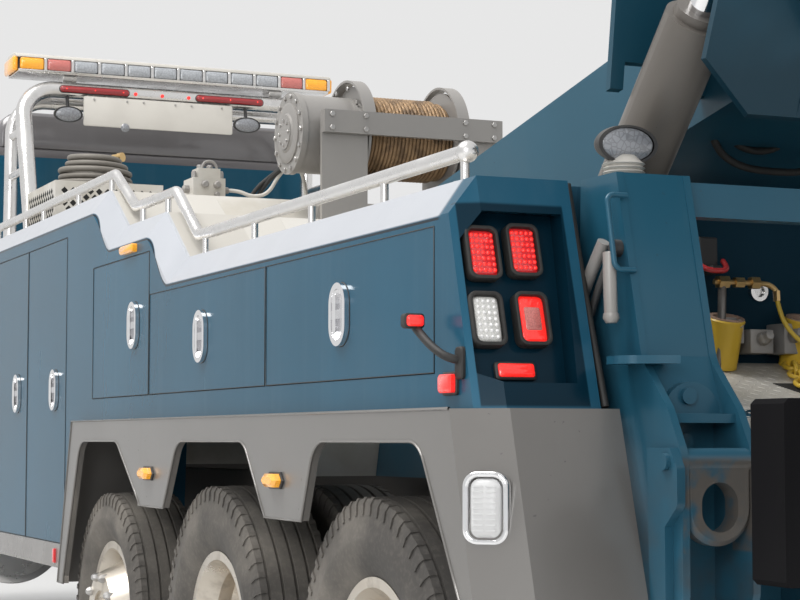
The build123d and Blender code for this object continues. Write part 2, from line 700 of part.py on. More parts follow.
def tool_door(index, side):
    """Door panel with its oval latch dish and T handle."""
    name, front, rear, low, high = compartments[index]
    lifts = index >= first_lift
    y0, z1 = door_hinge(index)
    inner = side_half - sheet
    panel = block((inner, side_half), (ahead(front - gap) if lifts else y0, ahead(rear + gap)),
                  (low + gap / 2.0, z1 if lifts else high - gap / 2.0))
    y = ahead((front + rear) / 2.0) if lifts else ahead(rear + 195.0)
    z = 1423.0 if index < 3 else (low + high) / 2.0
    latch = oval_x(122.0, 180.0, side_half - 2.0, side_half + 16.0, y, z)
    latch -= oval_x(86.0, 144.0, side_half + 6.0, side_half + 20.0, y, z)
    latch += block((side_half, side_half + 14.0), (y - 45.0, y + 45.0), (z - 13.0, z + 13.0))
    latch += block((side_half, side_half + 24.0), (y - 12.0, y + 12.0), (z - 58.0, z + 58.0))
    door = panel + latch
    return door if side > 0 else mirror(door, about=Plane.YZ)


def fender_plan(z, inset):
    """Rear fender in plan at a height, drawn in by its sheet."""
    drop = fender_top - z
    y0 = ahead(fender_front) - drop * fender_rake + inset
    y1 = behind(fender_rear) + drop * rear_rake - inset
    x0, x1 = fender_inner - (20.0 if inset else 0.0), fender_half - inset
    bevel = fender_bevel_rear
    return Plane.XY.offset(z) * flat([(x0, y0), (x1, y0), (x1, y1 - bevel), (x1 - bevel, y1), (x0, y1)])


def rear_fenders():
    """Fabricated fenders over the three rear wheels, each with three arches."""
    w = fender_wall
    low = 560.0
    skin = loft([fender_plan(fender_top, 0.0), fender_plan(low, 0.0)], ruled=True)
    skin -= loft([fender_plan(fender_top - w, w), fender_plan(low - 10.0, w)], ruled=True)
    through = (fender_half - w - 10.0, fender_half + 5.0)
    inside = (fender_inner - 30.0, fender_half + 5.0)
    last = 0.0
    for foot, foot_z, shoulder, far, end, end_z in arches:
        shape = rounded([(behind(foot), low - 50.0), (behind(foot), foot_z), (behind(shoulder), arch_top),
                         (behind(far), arch_top), (behind(end), end_z), (behind(end), low - 50.0)],
                        ((2, arch_corner), (3, arch_corner)))
        skin -= side_plate(shape, *through)
        if last:
            skin -= block(inside, (behind(last) - 1.0, behind(foot) + 1.0), (low - 50.0, foot_z))
        last = end
    skin -= block(inside, (ahead(3500.0), behind(arches[0][0]) + 1.0), (low - 50.0, arches[0][1] - 30.0))
    skin -= block(inside, (behind(500.0), behind(1400.0)), (low - 50.0, arches[2][5]))
    skin -= block((fender_inner - 30.0, side_half + 1.0), (ahead(3500.0),
                                                           ahead(compartments[2][2] - 110.0)),
                  (low - 60.0, fender_top + 30.0))
    return gather(both(max(skin.solids(), key=lambda s: s.volume)))


def deck_top():
    """Stepped top between the boxes in side view, from the body's front to the foot of the last riser."""
    points = [(ahead(body_front), tops[0][1])]
    levels = [height for start, height in tops] + [top_rear]
    for (start, height), lower in zip(tops, levels[1:]):
        shift = cornice_rise * math.tan(math.atan2(height - lower, riser_run) / 2.0)
        points += [(ahead(start) + shift, height), (ahead(start - riser_run) + shift, lower)]
    return points


def deck_wedge(y):
    """Height of the sloped tread plate between the columns at a place behind the rear axle."""
    return 1440.0 - (y - 50.0) * 0.3125


def deck():
    """Tread-plate steps between the boxes, cabinet behind the cab, hose tray and valve block."""
    x = box_inner - slack
    line = deck_top()
    end = line[-1][0]
    plate = side_plate(line + [(y, z - deck_sheet) for y, z in reversed(line)], -x, x)
    plate += block((-x, x), (end - deck_sheet, end), (rail_high, top_rear))
    front = ahead(body_front)
    plate += block((-x, x), (front, front + deck_sheet), (rail_high, tops[0][1]))
    head = block((-head_half, head_half), (ahead(head_front), front - slack), (rail_high, head_high))
    head = chamfer(head.edges().filter_by(Axis.Y).group_by(Axis.Z)[-1], 60.0)
    head -= block((-head_half + 20.0, head_half - 20.0), (ahead(head_front) + 20.0, front - slack - 20.0),
                  (rail_high - 10.0, head_high - 70.0))
    tray_x, tray_y = (530.0, 1070.0), (ahead(4950.0), ahead(4350.0))
    tray_low, tray_high, wall = tops[0][1] + slack, 2460.0, tray_wall
    tray = block(tray_x, tray_y, (tray_low, tray_high))
    tray -= block((tray_x[0] + wall, tray_x[1] - wall), (tray_y[0] + wall, tray_y[1] - wall),
                  (tray_low + wall, tray_high + 10.0))
    valve_y = ahead(3157.0)
    valve = block((625.0, 770.0), (valve_y - 70.0, valve_y + 70.0),
                  (tops[0][1] + slack, tops[0][1] + 100.0))
    valve += block((640.0, 740.0), (valve_y - 45.0, valve_y + 45.0),
                   (tops[0][1] + 100.0, tops[0][1] + 145.0))
    y0, y1 = 80.0, 930.0
    wedge = side_plate([(behind(y0), deck_wedge(y0)), (behind(y1), deck_wedge(y1)),
                        (behind(y1), deck_wedge(y1) - 8.0), (behind(y0), deck_wedge(y0) - 8.0)],
                       -column_inner + column_plate / 2.0 + slack,
                       column_inner - column_plate / 2.0 - slack)
    for side in (-1, 1):
        wedge -= block(span(side, 270.0, 450.0), (behind(520.0), behind(620.0)), (1100.0, 1500.0))
    return gather(plate, head, tray, valve, wedge)


def hose_coil():
    """Outer form of the hose that lies coiled in the tray."""
    z0, z1 = tops[0][1] + slack + tray_wall + slack, 2590.0
    middle = (800.0, ahead(4650.0))
    return rod_z(240.0, z0, z1, *middle) - rod_z(120.0, z0 - 5.0, z1 + 5.0, *middle)


def pylon_and_rails():
    """Polished tube arches for the lights, and the handrails along the boxes."""
    x, foot = pylon_x, tops[0][1]
    y_top, high = ahead(5900.0), 3180.0
    y_foot = ahead(body_front - 60.0)
    second = ahead(6130.0)
    second_foot = ahead(head_front - 60.0)
    rise = 20.0
    arch = tube([(x, y_foot, foot + rise), (x, y_top, high), (-x, y_top, high), (-x, y_foot, foot + rise)],
                46.0, 190.0)
    arch += tube([(x, second_foot, head_high + rise), (x, second, high - 40.0), (-x, second, high - 40.0),
                  (-x, second_foot, head_high + rise)], 38.0, 190.0)
    for z in (2700.0, 2930.0):
        part = (z - foot) / (high - foot)
        y_near = y_foot + (y_top - y_foot) * part
        for side in (-1, 1):
            arch += rod_y(22.0, second - 20.0, y_near, side * x, z)
    for side in (-1, 1):
        arch += rod_z(75.0, foot + slack, foot + 1.5 * rise, side * x, y_foot)
        arch += rod_z(60.0, head_high + slack, head_high + 1.5 * rise, side * x, second_foot)
    rails = []
    heights = [height + rail_rise for start, height in tops] + [top_rear + rail_rise]
    for side in (-1, 1):
        at = side * rail_x
        path = [(at, ahead(5400.0), heights[0]), (at, ahead(3020.0), heights[0]),
                (at, ahead(2700.0), heights[1]),
                (at, ahead(2140.0), heights[1]), (at, ahead(1860.0), heights[2]),
                (at, behind(430.0), heights[2])]
        rail = tube(path, 21.0, 60.0)
        for place in (5350.0, 4700.0, 4330.0, 3650.0, 3080.0, 2600.0, 2254.0, 1779.0, 1242.0, 704.0, 122.0,
                      -415.0):
            level = 0 if place > tops[0][0] else 1 if place > tops[1][0] else 2
            rail += rod_z(12.0, heights[level] - rail_rise, heights[level], at, ahead(place))
            rail += rod_z(30.0, heights[level] - rail_rise, heights[level] - rail_rise + 8.0, at,
                          ahead(place))
        rail += Pos(at, behind(430.0), heights[2]) * Sphere(29.0)
        rails.append(rail)
    return gather(arch, rails)


# Tail lamps in the recess: middle along X and Z as seen on the rear face, width and height
tail_lamps = [(1176.0, 1662.0, 86.0, 136.0), (1062.0, 1672.0, 86.0, 136.0), (1187.0, 1494.0, 86.0, 136.0),
              (1062.0, 1497.0, 86.0, 136.0)]


def lamps(tubes, body):
    """Light bar, work lamps, marker lamps, strobes and tail lamps."""
    y = ahead(5900.0)
    bar = block((-960.0, 960.0), (y - 220.0, y + 60.0), (3262.0, 3377.0))
    bar = fillet(bar.edges().filter_by(Axis.Z), 60.0)
    for x in (-600.0, 600.0):
        bar += block((x - 60.0, x + 60.0), (y - 40.0, y + 40.0), (3180.0, 3270.0)) - tubes
    pieces = [bar]
    for middle in (440.0, -245.0):
        strip = oval_y(330.0, 44.0, y + 20.0, y + 56.0, middle, 3180.0)
        pieces.append(strip - tubes)
    for middle in (640.0, -470.0):
        lamp = oval_y(170.0, 85.0, y + 20.0, y + 80.0, middle, 3040.0)
        lamp += block((middle - 12.0, middle + 12.0), (y + 10.0, y + 30.0), (3060.0, 3160.0))
        pieces.append(lamp - tubes)
    for side in (-1, 1):
        lamp = oval_y(176.0, 92.0, behind(585.0), behind(655.0), side * 771.0, 1975.0)
        lamp += rod_z(55.0, column_high + slack, 1935.0, side * 771.0, behind(620.0))
        pieces.append(lamp)
        bevel = fender_bevel_rear * math.sqrt(0.5)
        strobe = Pos(side * (fender_half - fender_bevel_rear / 2.0), behind(fender_rear - 2.0), 1095.0)
        strobe *= Rot(0, 0, -side * 45.0)
        pieces.append((strobe * oval_y(bevel + 20.0, 190.0, -20.0, 24.0, 0.0, 0.0)) - body)
        for x, z, width, height in tail_lamps:
            seat = rear_face(z, recess_depth)
            lens = block((x - width / 2.0, x + width / 2.0), (0.0, 30.0),
                         (z - height / 2.0, z + height / 2.0))
            lens = fillet(lens.edges().filter_by(Axis.Y), 24.0)
            lens = Pos(0.0, seat, z) * Rot(math.degrees(math.atan(rear_rake)), 0, 0) * Pos(0.0, 0.3,
                                                                                           -z) * lens
            pieces.append(lens if side > 0 else mirror(lens, about=Plane.YZ))
        root, knee, head = 1372.0, 1400.0, 1490.0
        arm = tube([(side * (side_half + 9.0), behind(636.0), root),
                    (side * (side_half + 45.0), behind(625.0), knee),
                    (side * (side_half + 75.0), behind(555.0), head)], 13.0, 30.0)
        arm += block(span(side, side_half + slack, side_half + 12.0), (behind(600.0), behind(672.0)),
                     (root - 30.0, root + 30.0))
        arm += block(span(side, side_half + 58.0, side_half + 92.0), (behind(515.0), behind(580.0)),
                     (head - 16.0, head + 16.0))
        pieces.append(arm)
        for place in (1912.0, 552.0):
            rhomb = [(ahead(place + 48.0), 1108.0), (ahead(place - 40.0), 1100.0),
                     (ahead(place - 48.0), 1060.0),
                     (ahead(place + 40.0), 1068.0)]
            pieces.append(side_plate(rhomb, *span(side, fender_half + slack, fender_half + 24.0)))
    return gather(pieces)


# Winch
def winch():
    """Gearbox, drum flanges, frame, guard hoops and tie bars of the planetary winch."""
    y, z = ahead(winch_y), winch_z
    front, rear = y - winch_frame, y + winch_frame
    step = deck_top()
    foot = tops[1][1] + slack
    profile = [(rear, foot), (step[2][0], foot), (step[1][0], tops[0][1] + slack),
               (front, tops[0][1] + slack),
               (front, z + 50.0), (y - 90.0, z + 150.0), (y + 90.0, z + 150.0), (rear, z + 71.0)]
    body = rod_x(gearbox_radius, 200.0, 450.0, y, z) + rod_x(gearbox_radius + 8.0, 444.0, 470.0, y, z)
    body += rod_x(70.0, 465.0, 490.0, y, z)
    body += side_plate(profile, 200.0, 222.0) + side_plate(profile, -266.0, -244.0)
    for x in ((222.0, 403.0), (-410.0, -266.0)):
        body += block(x, (rear - 20.0, rear), (foot, z + 71.0))
    body += rod_x(62.0, -250.0, 205.0, y, z) + rod_x(110.0, -480.0, -244.0, y, z)
    body += rod_x(215.0, rope_left + slack, rope_left + 12.0, y, z)
    body += rod_x(215.0, rope_right - 12.0, rope_right - slack, y, z)
    for x in ((165.0, 220.0), (-264.0, -209.0)):
        hoop = rod_x(hoop_radius, *x, y, z) - rod_x(hoop_radius - 10.0, x[0] - 5.0, x[1] + 5.0, y, z)
        body += hoop - block((x[0] - 5.0, x[1] + 5.0), (front - 60.0, rear + 60.0), (z - 300.0, z + 20.0))
    for bar in ((rear, rear + 30.0), (front - 30.0, front)):
        body += block((-410.0, 403.0), bar, (z - 23.0, z + 71.0))
    return body


def winch_rope():
    """Wire rope as it is wound on the drum, one closed form round the drum's barrel."""
    barrel = 62.0 + slack
    return (rod_x(rope_radius, rope_right, rope_left, ahead(winch_y), winch_z)
            - rod_x(barrel, rope_right - 5.0, rope_left + 5.0, ahead(winch_y), winch_z))


# Rear frame
def tow_eye_centre(side):
    """Middle of a tow eye's opening."""
    return side * (column_outer + column_inner) / 2.0, behind(eye_behind), eye_height


def tow_eye(side):
    """Forged D ring with its tube on a lateral pin."""
    x, y, z = tow_eye_centre(side)
    deep = 28.0
    ring = cross_plate(Pos(x, z) * (Circle(92.0) + Pos(0, 55.0) * Rectangle(184.0, 110.0)), y - deep,
                       y + deep)
    ring = chamfer(ring.edges().filter_by(GeomType.CIRCLE), 12.0)
    ring -= oval_y(100.0, 118.0, y - 40.0, y + 40.0, x, z)
    return ring + rod_x(32.0, x - 92.0, x + 92.0, y, z + 108.0)


def column_outline():
    """Side plate of a rear column: raked above, flared rearward at the tow eye."""
    points = [(behind(560.0), column_foot), (behind(560.0), 1150.0), (behind(520.0), 1250.0),
              (behind(545.0), column_high), (behind(730.0), column_high), (behind(848.0), 1400.0),
              (behind(965.0), 1280.0), (behind(1028.0), 1170.0), (behind(1028.0), 840.0),
              (behind(900.0), column_foot)]
    return rounded(points, ((5, 90.0), (6, 120.0), (7, 90.0)))


def column(side):
    """Fabricated column: two side plates, raked web, cross plates, lugs, grab handle and tow eye."""
    half = column_plate / 2.0
    x_in, x_out = column_inner - half, column_outer + half
    inside = (column_inner, column_outer)
    piece = side_plate(column_outline(), x_in, x_in + column_plate)
    piece += side_plate(column_outline(), x_out - column_plate, x_out)
    web = [(behind(706.0), column_high), (behind(726.0), column_high), (behind(843.0), 1410.0),
           (behind(905.0), 1262.0), (behind(885.0), 1262.0), (behind(823.0), 1410.0)]
    piece += side_plate(web, *inside)
    piece += block(inside, (behind(545.0), behind(726.0)), (column_high - column_plate, column_high))
    piece += block(inside, (behind(860.0), behind(958.0)), (1245.0, 1267.0))
    piece += block(inside, (behind(840.0), behind(860.0)), (column_foot, 1267.0))
    middle = sum(inside) / 2.0
    rear = behind(880.0)
    piece += rod_y(78.0, rear - 20.0, rear + 22.0, middle, 1267.0) & block(inside,
                                                                           (rear - 30.0, rear + 40.0),
                                                                           (1267.0, 1400.0))
    piece += rod_y(20.0, rear, rear + 34.0, middle + 12.0, 1310.0)
    piece += rod_y(20.0, behind(850.0), behind(878.0), middle, 1200.0)
    shelf = rounded([(x_out - 60.0, behind(790.0)), (x_out + 70.0, behind(770.0)),
                     (x_out + 70.0, behind(870.0)),
                     (x_out - 60.0, behind(930.0))], ((1, 30.0), (2, 60.0)))
    piece += floor_plate(shelf, 1388.0, 1408.0) - side_plate(column_outline(), x_in - 5.0,
                                                             x_out - column_plate)
    ear = rounded([(behind(915.0), 760.0), (behind(905.0), 1185.0), (behind(1010.0), 1185.0),
                   (behind(1042.0), 1140.0),
                   (behind(1042.0), 1050.0), (behind(985.0), 1000.0), (behind(985.0), 760.0)],
                   ((3, 25.0), (4, 25.0)))
    piece += side_plate(ear, x_out, x_out + 22.0)
    piece += rod_x(20.0, x_in - 12.0, x_out + 34.0, behind(eye_behind), eye_height + 108.0)
    piece += tube([(x_out - 12.0, behind(760.0), 1812.0), (x_out + 45.0, behind(760.0), 1812.0),
                   (x_out + 45.0, behind(800.0), 1622.0), (x_out - 12.0, behind(800.0), 1622.0)], 7.0, 20.0)
    piece += tow_eye(1)
    piece += block((rail_half, x_in + half), (behind(490.0), behind(570.0)), (820.0, 1060.0))
    return piece if side > 0 else mirror(piece, about=Plane.YZ)


def rear_frame():
    """Two columns, top beam, cross wall, underlift lugs and the boom's towers."""
    frame = column(1) + column(-1)
    x_in = column_inner
    frame += block((-x_in, x_in), (behind(640.0), behind(700.0)), (column_high - 100.0, column_high - 12.0))
    frame += block((-600.0, 600.0), (behind(480.0) + slack, behind(500.0)),
                   (560.0, deck_wedge(490.0) - 14.0))
    fy, fz = behind(fold_pivot[0]), fold_pivot[1]
    for side in (-1, 1):
        lug = rounded([(behind(490.0), fz + 10.0), (behind(490.0), 900.0), (fy + 60.0, fz + 90.0),
                       (fy + 90.0, fz), (fy + 60.0, fz - 90.0)], ((2, 60.0), (4, 60.0)))
        frame += side_plate(lug, *span(side, arm_half + 20.0, arm_half + 60.0))
    frame -= rod_x(fold_pin + running, -400.0, 400.0, fy, fz)
    towers = []
    py, pz = behind(boom_pivot[0]), boom_pivot[1]
    for side in (-1, 1):
        plate = rounded([(py - 420.0, rail_high), (py + 520.0, rail_high), (py + 140.0, pz + 110.0),
                         (py - 140.0, pz + 110.0)], ((2, 100.0), (3, 100.0)))
        tower = side_plate(plate, *span(side, boom_half + gap, boom_half + gap + 40.0))
        tower += rod_x(110.0, side * (boom_half + gap), side * (boom_half + gap + 60.0), py, pz)
        towers.append(tower - rod_x(boom_pin + running, -600.0, 600.0, py, pz))
    return gather(frame, towers)


# Boom
def in_boom(along, up):
    """Point in side view from the boom's own axes: along the boom and square to it."""
    c, s = math.cos(boom_slope), math.sin(boom_slope)
    return (behind(boom_pivot[0]) + along * c - up * s, boom_pivot[1] + along * s + up * c)


rod_notch = 70.0                       # notch in the front cross plates that the rods swing into
boom_high = 150.0                      # top plate above the pivot, square to the boom
boom_low = -200.0
boom_mouth = boom_length - 580.0       # end of the base box
# Cross plates ahead of and behind the rod eyes, in the boom's axes: foot, head and cut of the lower corner
brackets = [((1800.0, -140.0), (1930.0, 230.0), 0.0), ((2195.0, -340.0), (2490.0, 94.0), 130.0)]


def boom_main():
    """Boom's base box with its pivot tube and the cross plates that the cylinders push on."""
    outline = [in_boom(-150.0, -80.0), in_boom(-150.0, 90.0), in_boom(-60.0, boom_high),
               in_boom(boom_mouth, boom_high), in_boom(boom_mouth, boom_low), in_boom(700.0, boom_low),
               in_boom(250.0, -100.0)]
    shell = side_plate(outline, -boom_half, boom_half)
    collar = [in_boom(boom_mouth - 90.0, boom_high + 14.0), in_boom(boom_mouth, boom_high + 14.0),
              in_boom(boom_mouth, boom_low - 14.0), in_boom(boom_mouth - 90.0, boom_low - 14.0)]
    shell += side_plate(collar, -boom_half - 14.0, boom_half + 14.0)
    inner = [in_boom(300.0, -60.0), in_boom(300.0, boom_high - boom_wall),
             in_boom(boom_mouth + 10.0, boom_high - boom_wall),
             in_boom(boom_mouth + 10.0, boom_low + boom_wall),
             in_boom(720.0, boom_low + boom_wall)]
    shell -= side_plate(inner, -boom_half + boom_wall, boom_half - boom_wall)
    shell += rod_x(boom_pin, -boom_half - 50.0, boom_half + 50.0, behind(boom_pivot[0]), boom_pivot[1])
    for foot, head, cut in brackets:
        lean = [in_boom(*foot), in_boom(foot[0] + 25.0, foot[1]), in_boom(head[0] + 25.0, head[1]),
                in_boom(*head)]
        notch = [in_boom(foot[0] - 10.0, foot[1] - 10.0), in_boom(foot[0] + 100.0, foot[1] - 10.0),
                 in_boom(foot[0] + 100.0, foot[1] + rod_notch),
                 in_boom(foot[0] - 10.0, foot[1] + rod_notch)]
        for side in (-1, 1):
            wing = side_plate(lean, *span(side, boom_half - 5.0, bracket_half))
            if not cut:
                wing -= side_plate(notch, *span(side, lift_x - rod_radius - 22.0,
                                                lift_x + rod_radius + 22.0))
            y, z = in_boom(*foot)
            corner = [(side * (bracket_half + 5.0), z - 20.0), (side * (bracket_half + 5.0), z + cut),
                      (side * (bracket_half - 1.4 * cut - 5.0), z - 20.0)]
            shell += wing - cross_plate(corner, y - 200.0, y + 400.0) if cut else wing
        if cut:
            shell += side_plate([in_boom(*foot), in_boom(foot[0] + 25.0, foot[1]),
                                 in_boom(foot[0] + 135.0, boom_low + 5.0),
                                 in_boom(foot[0] + 98.0, boom_low + 5.0)],
                                -boom_half, boom_half)
    return shell


def boom_extension():
    """Sliding inner boom with its head, cheeks and two grooved sheaves."""
    half = boom_half - boom_wall - gap
    high, low = boom_high - boom_wall - 12.0, boom_low + boom_wall + 12.0
    tip = boom_length - head_reach
    outline = [in_boom(760.0, low), in_boom(760.0, high), in_boom(tip - 260.0, high),
               in_boom(tip - 160.0, high - 60.0),
               in_boom(tip - 160.0, low)]
    shell = side_plate(outline, -half, half)
    cavity = [in_boom(750.0, low + 18.0), in_boom(750.0, high - 18.0), in_boom(tip - 300.0, high - 18.0),
              in_boom(tip - 300.0, low + 18.0)]
    fit = boom_wall + slack
    pad = [in_boom(770.0, boom_low + fit), in_boom(770.0, boom_high - fit), in_boom(870.0, boom_high - fit),
           in_boom(870.0, boom_low + fit)]
    shell += side_plate(pad, -boom_half + fit, boom_half - fit)
    shell -= side_plate(cavity, -half + 18.0, half - 18.0)
    y, z = in_boom(tip, -sheave_drop)
    cheek = [in_boom(tip - 300.0, low), in_boom(tip - 300.0, high), in_boom(tip, -sheave_drop + head_reach),
             in_boom(tip, -sheave_drop - head_reach)]
    for x in sheave_places:
        for plate_x in (x - sheave_width / 2.0 - cheek_wall, x + sheave_width / 2.0):
            shell += side_plate(cheek, plate_x, plate_x + cheek_wall)
            shell += rod_x(head_reach, plate_x, plate_x + cheek_wall, y, z)
        groove = [(-rope_groove, 30.0), (-rope_groove, sheave_radius), (0.0, sheave_radius - 24.0),
                  (rope_groove, sheave_radius), (rope_groove, 30.0)]
        shell += turned(groove, x, y, z, 1)
        reach = sheave_width / 2.0 + cheek_wall + 16.0
        shell += rod_x(30.0, x - reach, x + reach, y, z)
    return shell


lift_length = math.hypot(lift_eye[0] - lift_base[0], lift_eye[1] - lift_base[1])
lift_tilt = math.degrees(math.atan2(lift_eye[1] - lift_base[1], lift_eye[0] - lift_base[0]))


def lift_axis(distance):
    """Point in side view on the lift cylinder's axis, a distance from its base pin."""
    part = distance / lift_length
    return (behind(lift_base[0] + (lift_eye[0] - lift_base[0]) * part),
            lift_base[1] + (lift_eye[1] - lift_base[1]) * part)


def along_lift(radius, start, end, x):
    """Round bar on the lift cylinder's axis."""
    y, z = lift_axis((start + end) / 2.0)
    return Pos(x, y, z) * Rot(-(90.0 - lift_tilt), 0, 0) * Cylinder(radius, end - start)


def lift_barrels():
    """Two cylinder barrels with base eyes and gland rings, side by side on one axis."""
    y, z = lift_axis(0.0)
    barrel = along_lift(barrel_radius, 80.0, barrel_length, lift_x)
    barrel += along_lift(barrel_radius - 20.0, barrel_length - 10.0, barrel_length + 25.0, lift_x)
    barrel += rod_x(85.0, lift_x - 40.0, lift_x + 40.0, y, z)
    barrel -= rod_x(lift_pin + running, lift_x - 60.0, lift_x + 60.0, y, z)
    barrel -= along_lift(rod_radius + slack, 130.0, barrel_length + 40.0, lift_x)
    return gather(both(barrel))


def lift_rods():
    """Two chromed rods with their eyes."""
    y, z = lift_axis(lift_length)
    rod = along_lift(rod_radius, barrel_length / 2.0, lift_length - 40.0, lift_x)
    rod += rod_x(62.0, lift_x - 35.0, lift_x + 35.0, y, z) + rod_x(28.0, lift_x - 60.0, lift_x + 60.0, y, z)
    return gather(both(rod))


# Underlift
def underlift_arm():
    """Outer box of the underlift arm, folded upright behind the columns."""
    fy, fz = behind(fold_pivot[0]), fold_pivot[1]
    deep, half, wall = arm_deep, arm_half, arm_wall
    box = block((-half, half), (fy - deep, fy + deep), (fz - 20.0, fz + arm_length))
    box -= block((-half + wall, half - wall), (fy - deep + wall, fy + deep - wall),
                 (fz + 60.0, fz + arm_length + 5.0))
    collar = block((-half - 16.0, half + 16.0), (fy - deep - 12.0, fy + deep + 6.0),
                   (fz + arm_length - 70.0, fz + arm_length))
    collar -= block((-half + 1.0, half - 1.0), (fy - deep + 1.0, fy + deep - 1.0),
                    (fz, fz + arm_length + 5.0))
    box += collar + rod_x(95.0, -half, half, fy, fz) + rod_x(fold_pin, -half - 60.0, half + 60.0, fy, fz)
    box -= block((-half + wall, half - wall), (fy - deep + wall, fy + deep - wall),
                 (fz + 100.0, fz + arm_length + 5.0))
    return box


def underlift_stinger():
    """Inner box that slides out of the arm on wear pads and carries the crossbar's pin."""
    fy, fz = behind(fold_pivot[0]), fold_pivot[1]
    pin_z = fz + stinger_pin
    half, deep = arm_half - arm_wall, arm_deep - arm_wall
    box = block((-half + 5.0, half - 5.0), (fy - deep + 5.0, fy + deep - 5.0), (fz + 105.0, pin_z + 120.0))
    box += block((-half + slack, half - slack), (fy - deep + slack, fy + deep - slack),
                 (fz + 105.0, fz + 165.0))
    box += block((-110.0, 110.0), (fy + deep - 15.0, fy + deep + 30.0), (pin_z - 90.0, pin_z + 120.0))
    return box + rod_y(swivel_radius, fy + deep + 25.0, fy + deep + 185.0, 0.0, pin_z)


def crossbar():
    """Pivoting crossbar with a deep fork receiver at each end."""
    fy = behind(fold_pivot[0] + arm_deep + 15.0)
    z = fold_pivot[1] + stinger_pin
    half = crossbar_height / 2.0
    bar = block((-crossbar_half, crossbar_half), (fy + 20.0, fy + 20.0 + crossbar_deep),
                (z - half, z + half))
    bar += rod_y(150.0, fy + 5.0, fy + 25.0 + crossbar_deep, 0.0, z)
    bar -= rod_y(swivel_radius + running, fy - 10.0, fy + 200.0, 0.0, z)
    for side in (-1, 1):
        end = block(span(side, crossbar_half - receiver_width, crossbar_half),
                    (fy + 10.0, fy + 30.0 + crossbar_deep),
                    (z - receiver_height / 2.0, z + receiver_height / 2.0))
        bar += chamfer(end.edges().filter_by(Axis.Y), 12.0)
    return bar


def build():
    """Every sub-part by name."""
    hood = hood_shell()
    tubes = pylon_and_rails()
    fenders = rear_fenders()
    parts = {
        "chassis_frame": chassis_frame(),
        "axles": axles(),
        "engine_block": block((-380.0, 380.0), (y_steer - 250.0, y_cab_front - 60.0), (rail_high, 1640.0)),
        "side_tanks": side_tanks(),
        "cab_shell": cab_shell(),
        "cab_interior": cab_interior(),
        "cab_glass": cab_glass(),
        "hood_shell": hood,
        "grille": grille(hood),
        "front_bumper": front_bumper(),
        "tool_boxes": tool_boxes(),
        "rear_fenders": fenders,
        "deck": deck(),
        "hose_coil": hose_coil(),
        "pylon_and_rails": tubes,
        "lamps": lamps(tubes[0], fenders[0] + fenders[1]),
        "winch": winch(),
        "winch_rope": winch_rope(),
        "rear_frame": rear_frame(),
        "boom_main": boom_main(),
        "boom_extension": boom_extension(),
        "lift_barrels": lift_barrels(),
        "lift_rods": lift_rods(),
        "underlift_arm": underlift_arm(),
        "underlift_stinger": underlift_stinger(),
        "crossbar": crossbar(),
    }
    for side, word in ((1, "left"), (-1, "right")):
        parts["knuckle_" + word] = knuckle(side)
        door, pane = cab_door(side)
        parts["cab_door_" + word] = door
        parts["cab_door_glass_" + word] = pane
        rubber, metal = single_wheel(steer_radius, y_steer, side)
        parts["tyre_front_" + word] = rubber
        parts["rim_front_" + word] = metal
        rubber, metal = single_wheel(pusher_radius, y_axles[2], side)
        parts["tyre_pusher_" + word] = rubber
        parts["rim_pusher_" + word] = metal
        for name, y in (("rear", y_axles[0]), ("middle", y_axles[1])):
            rubber, metal = twin_wheel(y, side)
            parts["tyres_" + name + "_" + word] = rubber
            parts["rims_" + name + "_" + word] = metal
        for index, row in enumerate(compartments):
            parts["door_" + row[0] + "_" + word] = tool_door(index, side)
    return parts


model = build()
os.makedirs("parts", exist_ok=True)
for node, shape in model.items():
    solids = gather(shape)
    export_step(solids[0] if len(solids) == 1 else Compound(children=solids), "parts/" + node + ".step")
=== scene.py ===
# %% [markdown]
# A heavy tow truck seen from its left rear corner.
# The imported CAD model is the fixed frame. Every Blender piece is placed in metres from its boxes, so nothing
# has to be fitted by eye.

# %% Load the frame
import math
import random

import bmesh
import bpy
from mathutils import Matrix, Vector


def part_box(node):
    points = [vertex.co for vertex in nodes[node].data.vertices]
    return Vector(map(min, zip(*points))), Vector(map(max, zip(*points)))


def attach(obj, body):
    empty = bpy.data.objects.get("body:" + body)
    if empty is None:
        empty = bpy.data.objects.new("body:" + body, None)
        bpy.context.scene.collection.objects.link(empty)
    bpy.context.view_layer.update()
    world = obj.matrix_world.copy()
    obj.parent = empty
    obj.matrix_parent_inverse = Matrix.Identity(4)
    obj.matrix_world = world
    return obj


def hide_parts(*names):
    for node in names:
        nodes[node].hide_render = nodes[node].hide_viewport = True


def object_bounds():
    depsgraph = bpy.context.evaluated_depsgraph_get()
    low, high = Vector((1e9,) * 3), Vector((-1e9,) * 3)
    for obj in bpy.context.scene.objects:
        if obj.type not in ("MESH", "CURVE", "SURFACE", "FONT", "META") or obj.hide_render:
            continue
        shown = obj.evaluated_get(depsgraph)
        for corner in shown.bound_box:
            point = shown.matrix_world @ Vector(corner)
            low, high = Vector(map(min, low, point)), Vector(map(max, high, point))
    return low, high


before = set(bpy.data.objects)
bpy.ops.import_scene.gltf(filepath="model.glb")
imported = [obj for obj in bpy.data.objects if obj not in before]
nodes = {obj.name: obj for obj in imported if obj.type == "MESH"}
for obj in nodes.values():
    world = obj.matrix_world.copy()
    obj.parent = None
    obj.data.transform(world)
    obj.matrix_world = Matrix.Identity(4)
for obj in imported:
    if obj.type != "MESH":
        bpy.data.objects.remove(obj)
cad_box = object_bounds()


def box_of(node):
    """Two corners of a node's box."""
    return [Vector(corner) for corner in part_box(node)]


REAR = sum(corner.y for corner in box_of("tyres_rear_left")) / 2.0
SIDES = (("left", 1), ("right", -1))
UP, BACK, AHEAD, LEFT, RIGHT = (0, 0, 1), (0, 1, 0), (0, -1, 0), (1, 0, 0), (-1, 0, 0)
SIDE_FACE = 1.2503
FENDER_FACE = 1.3


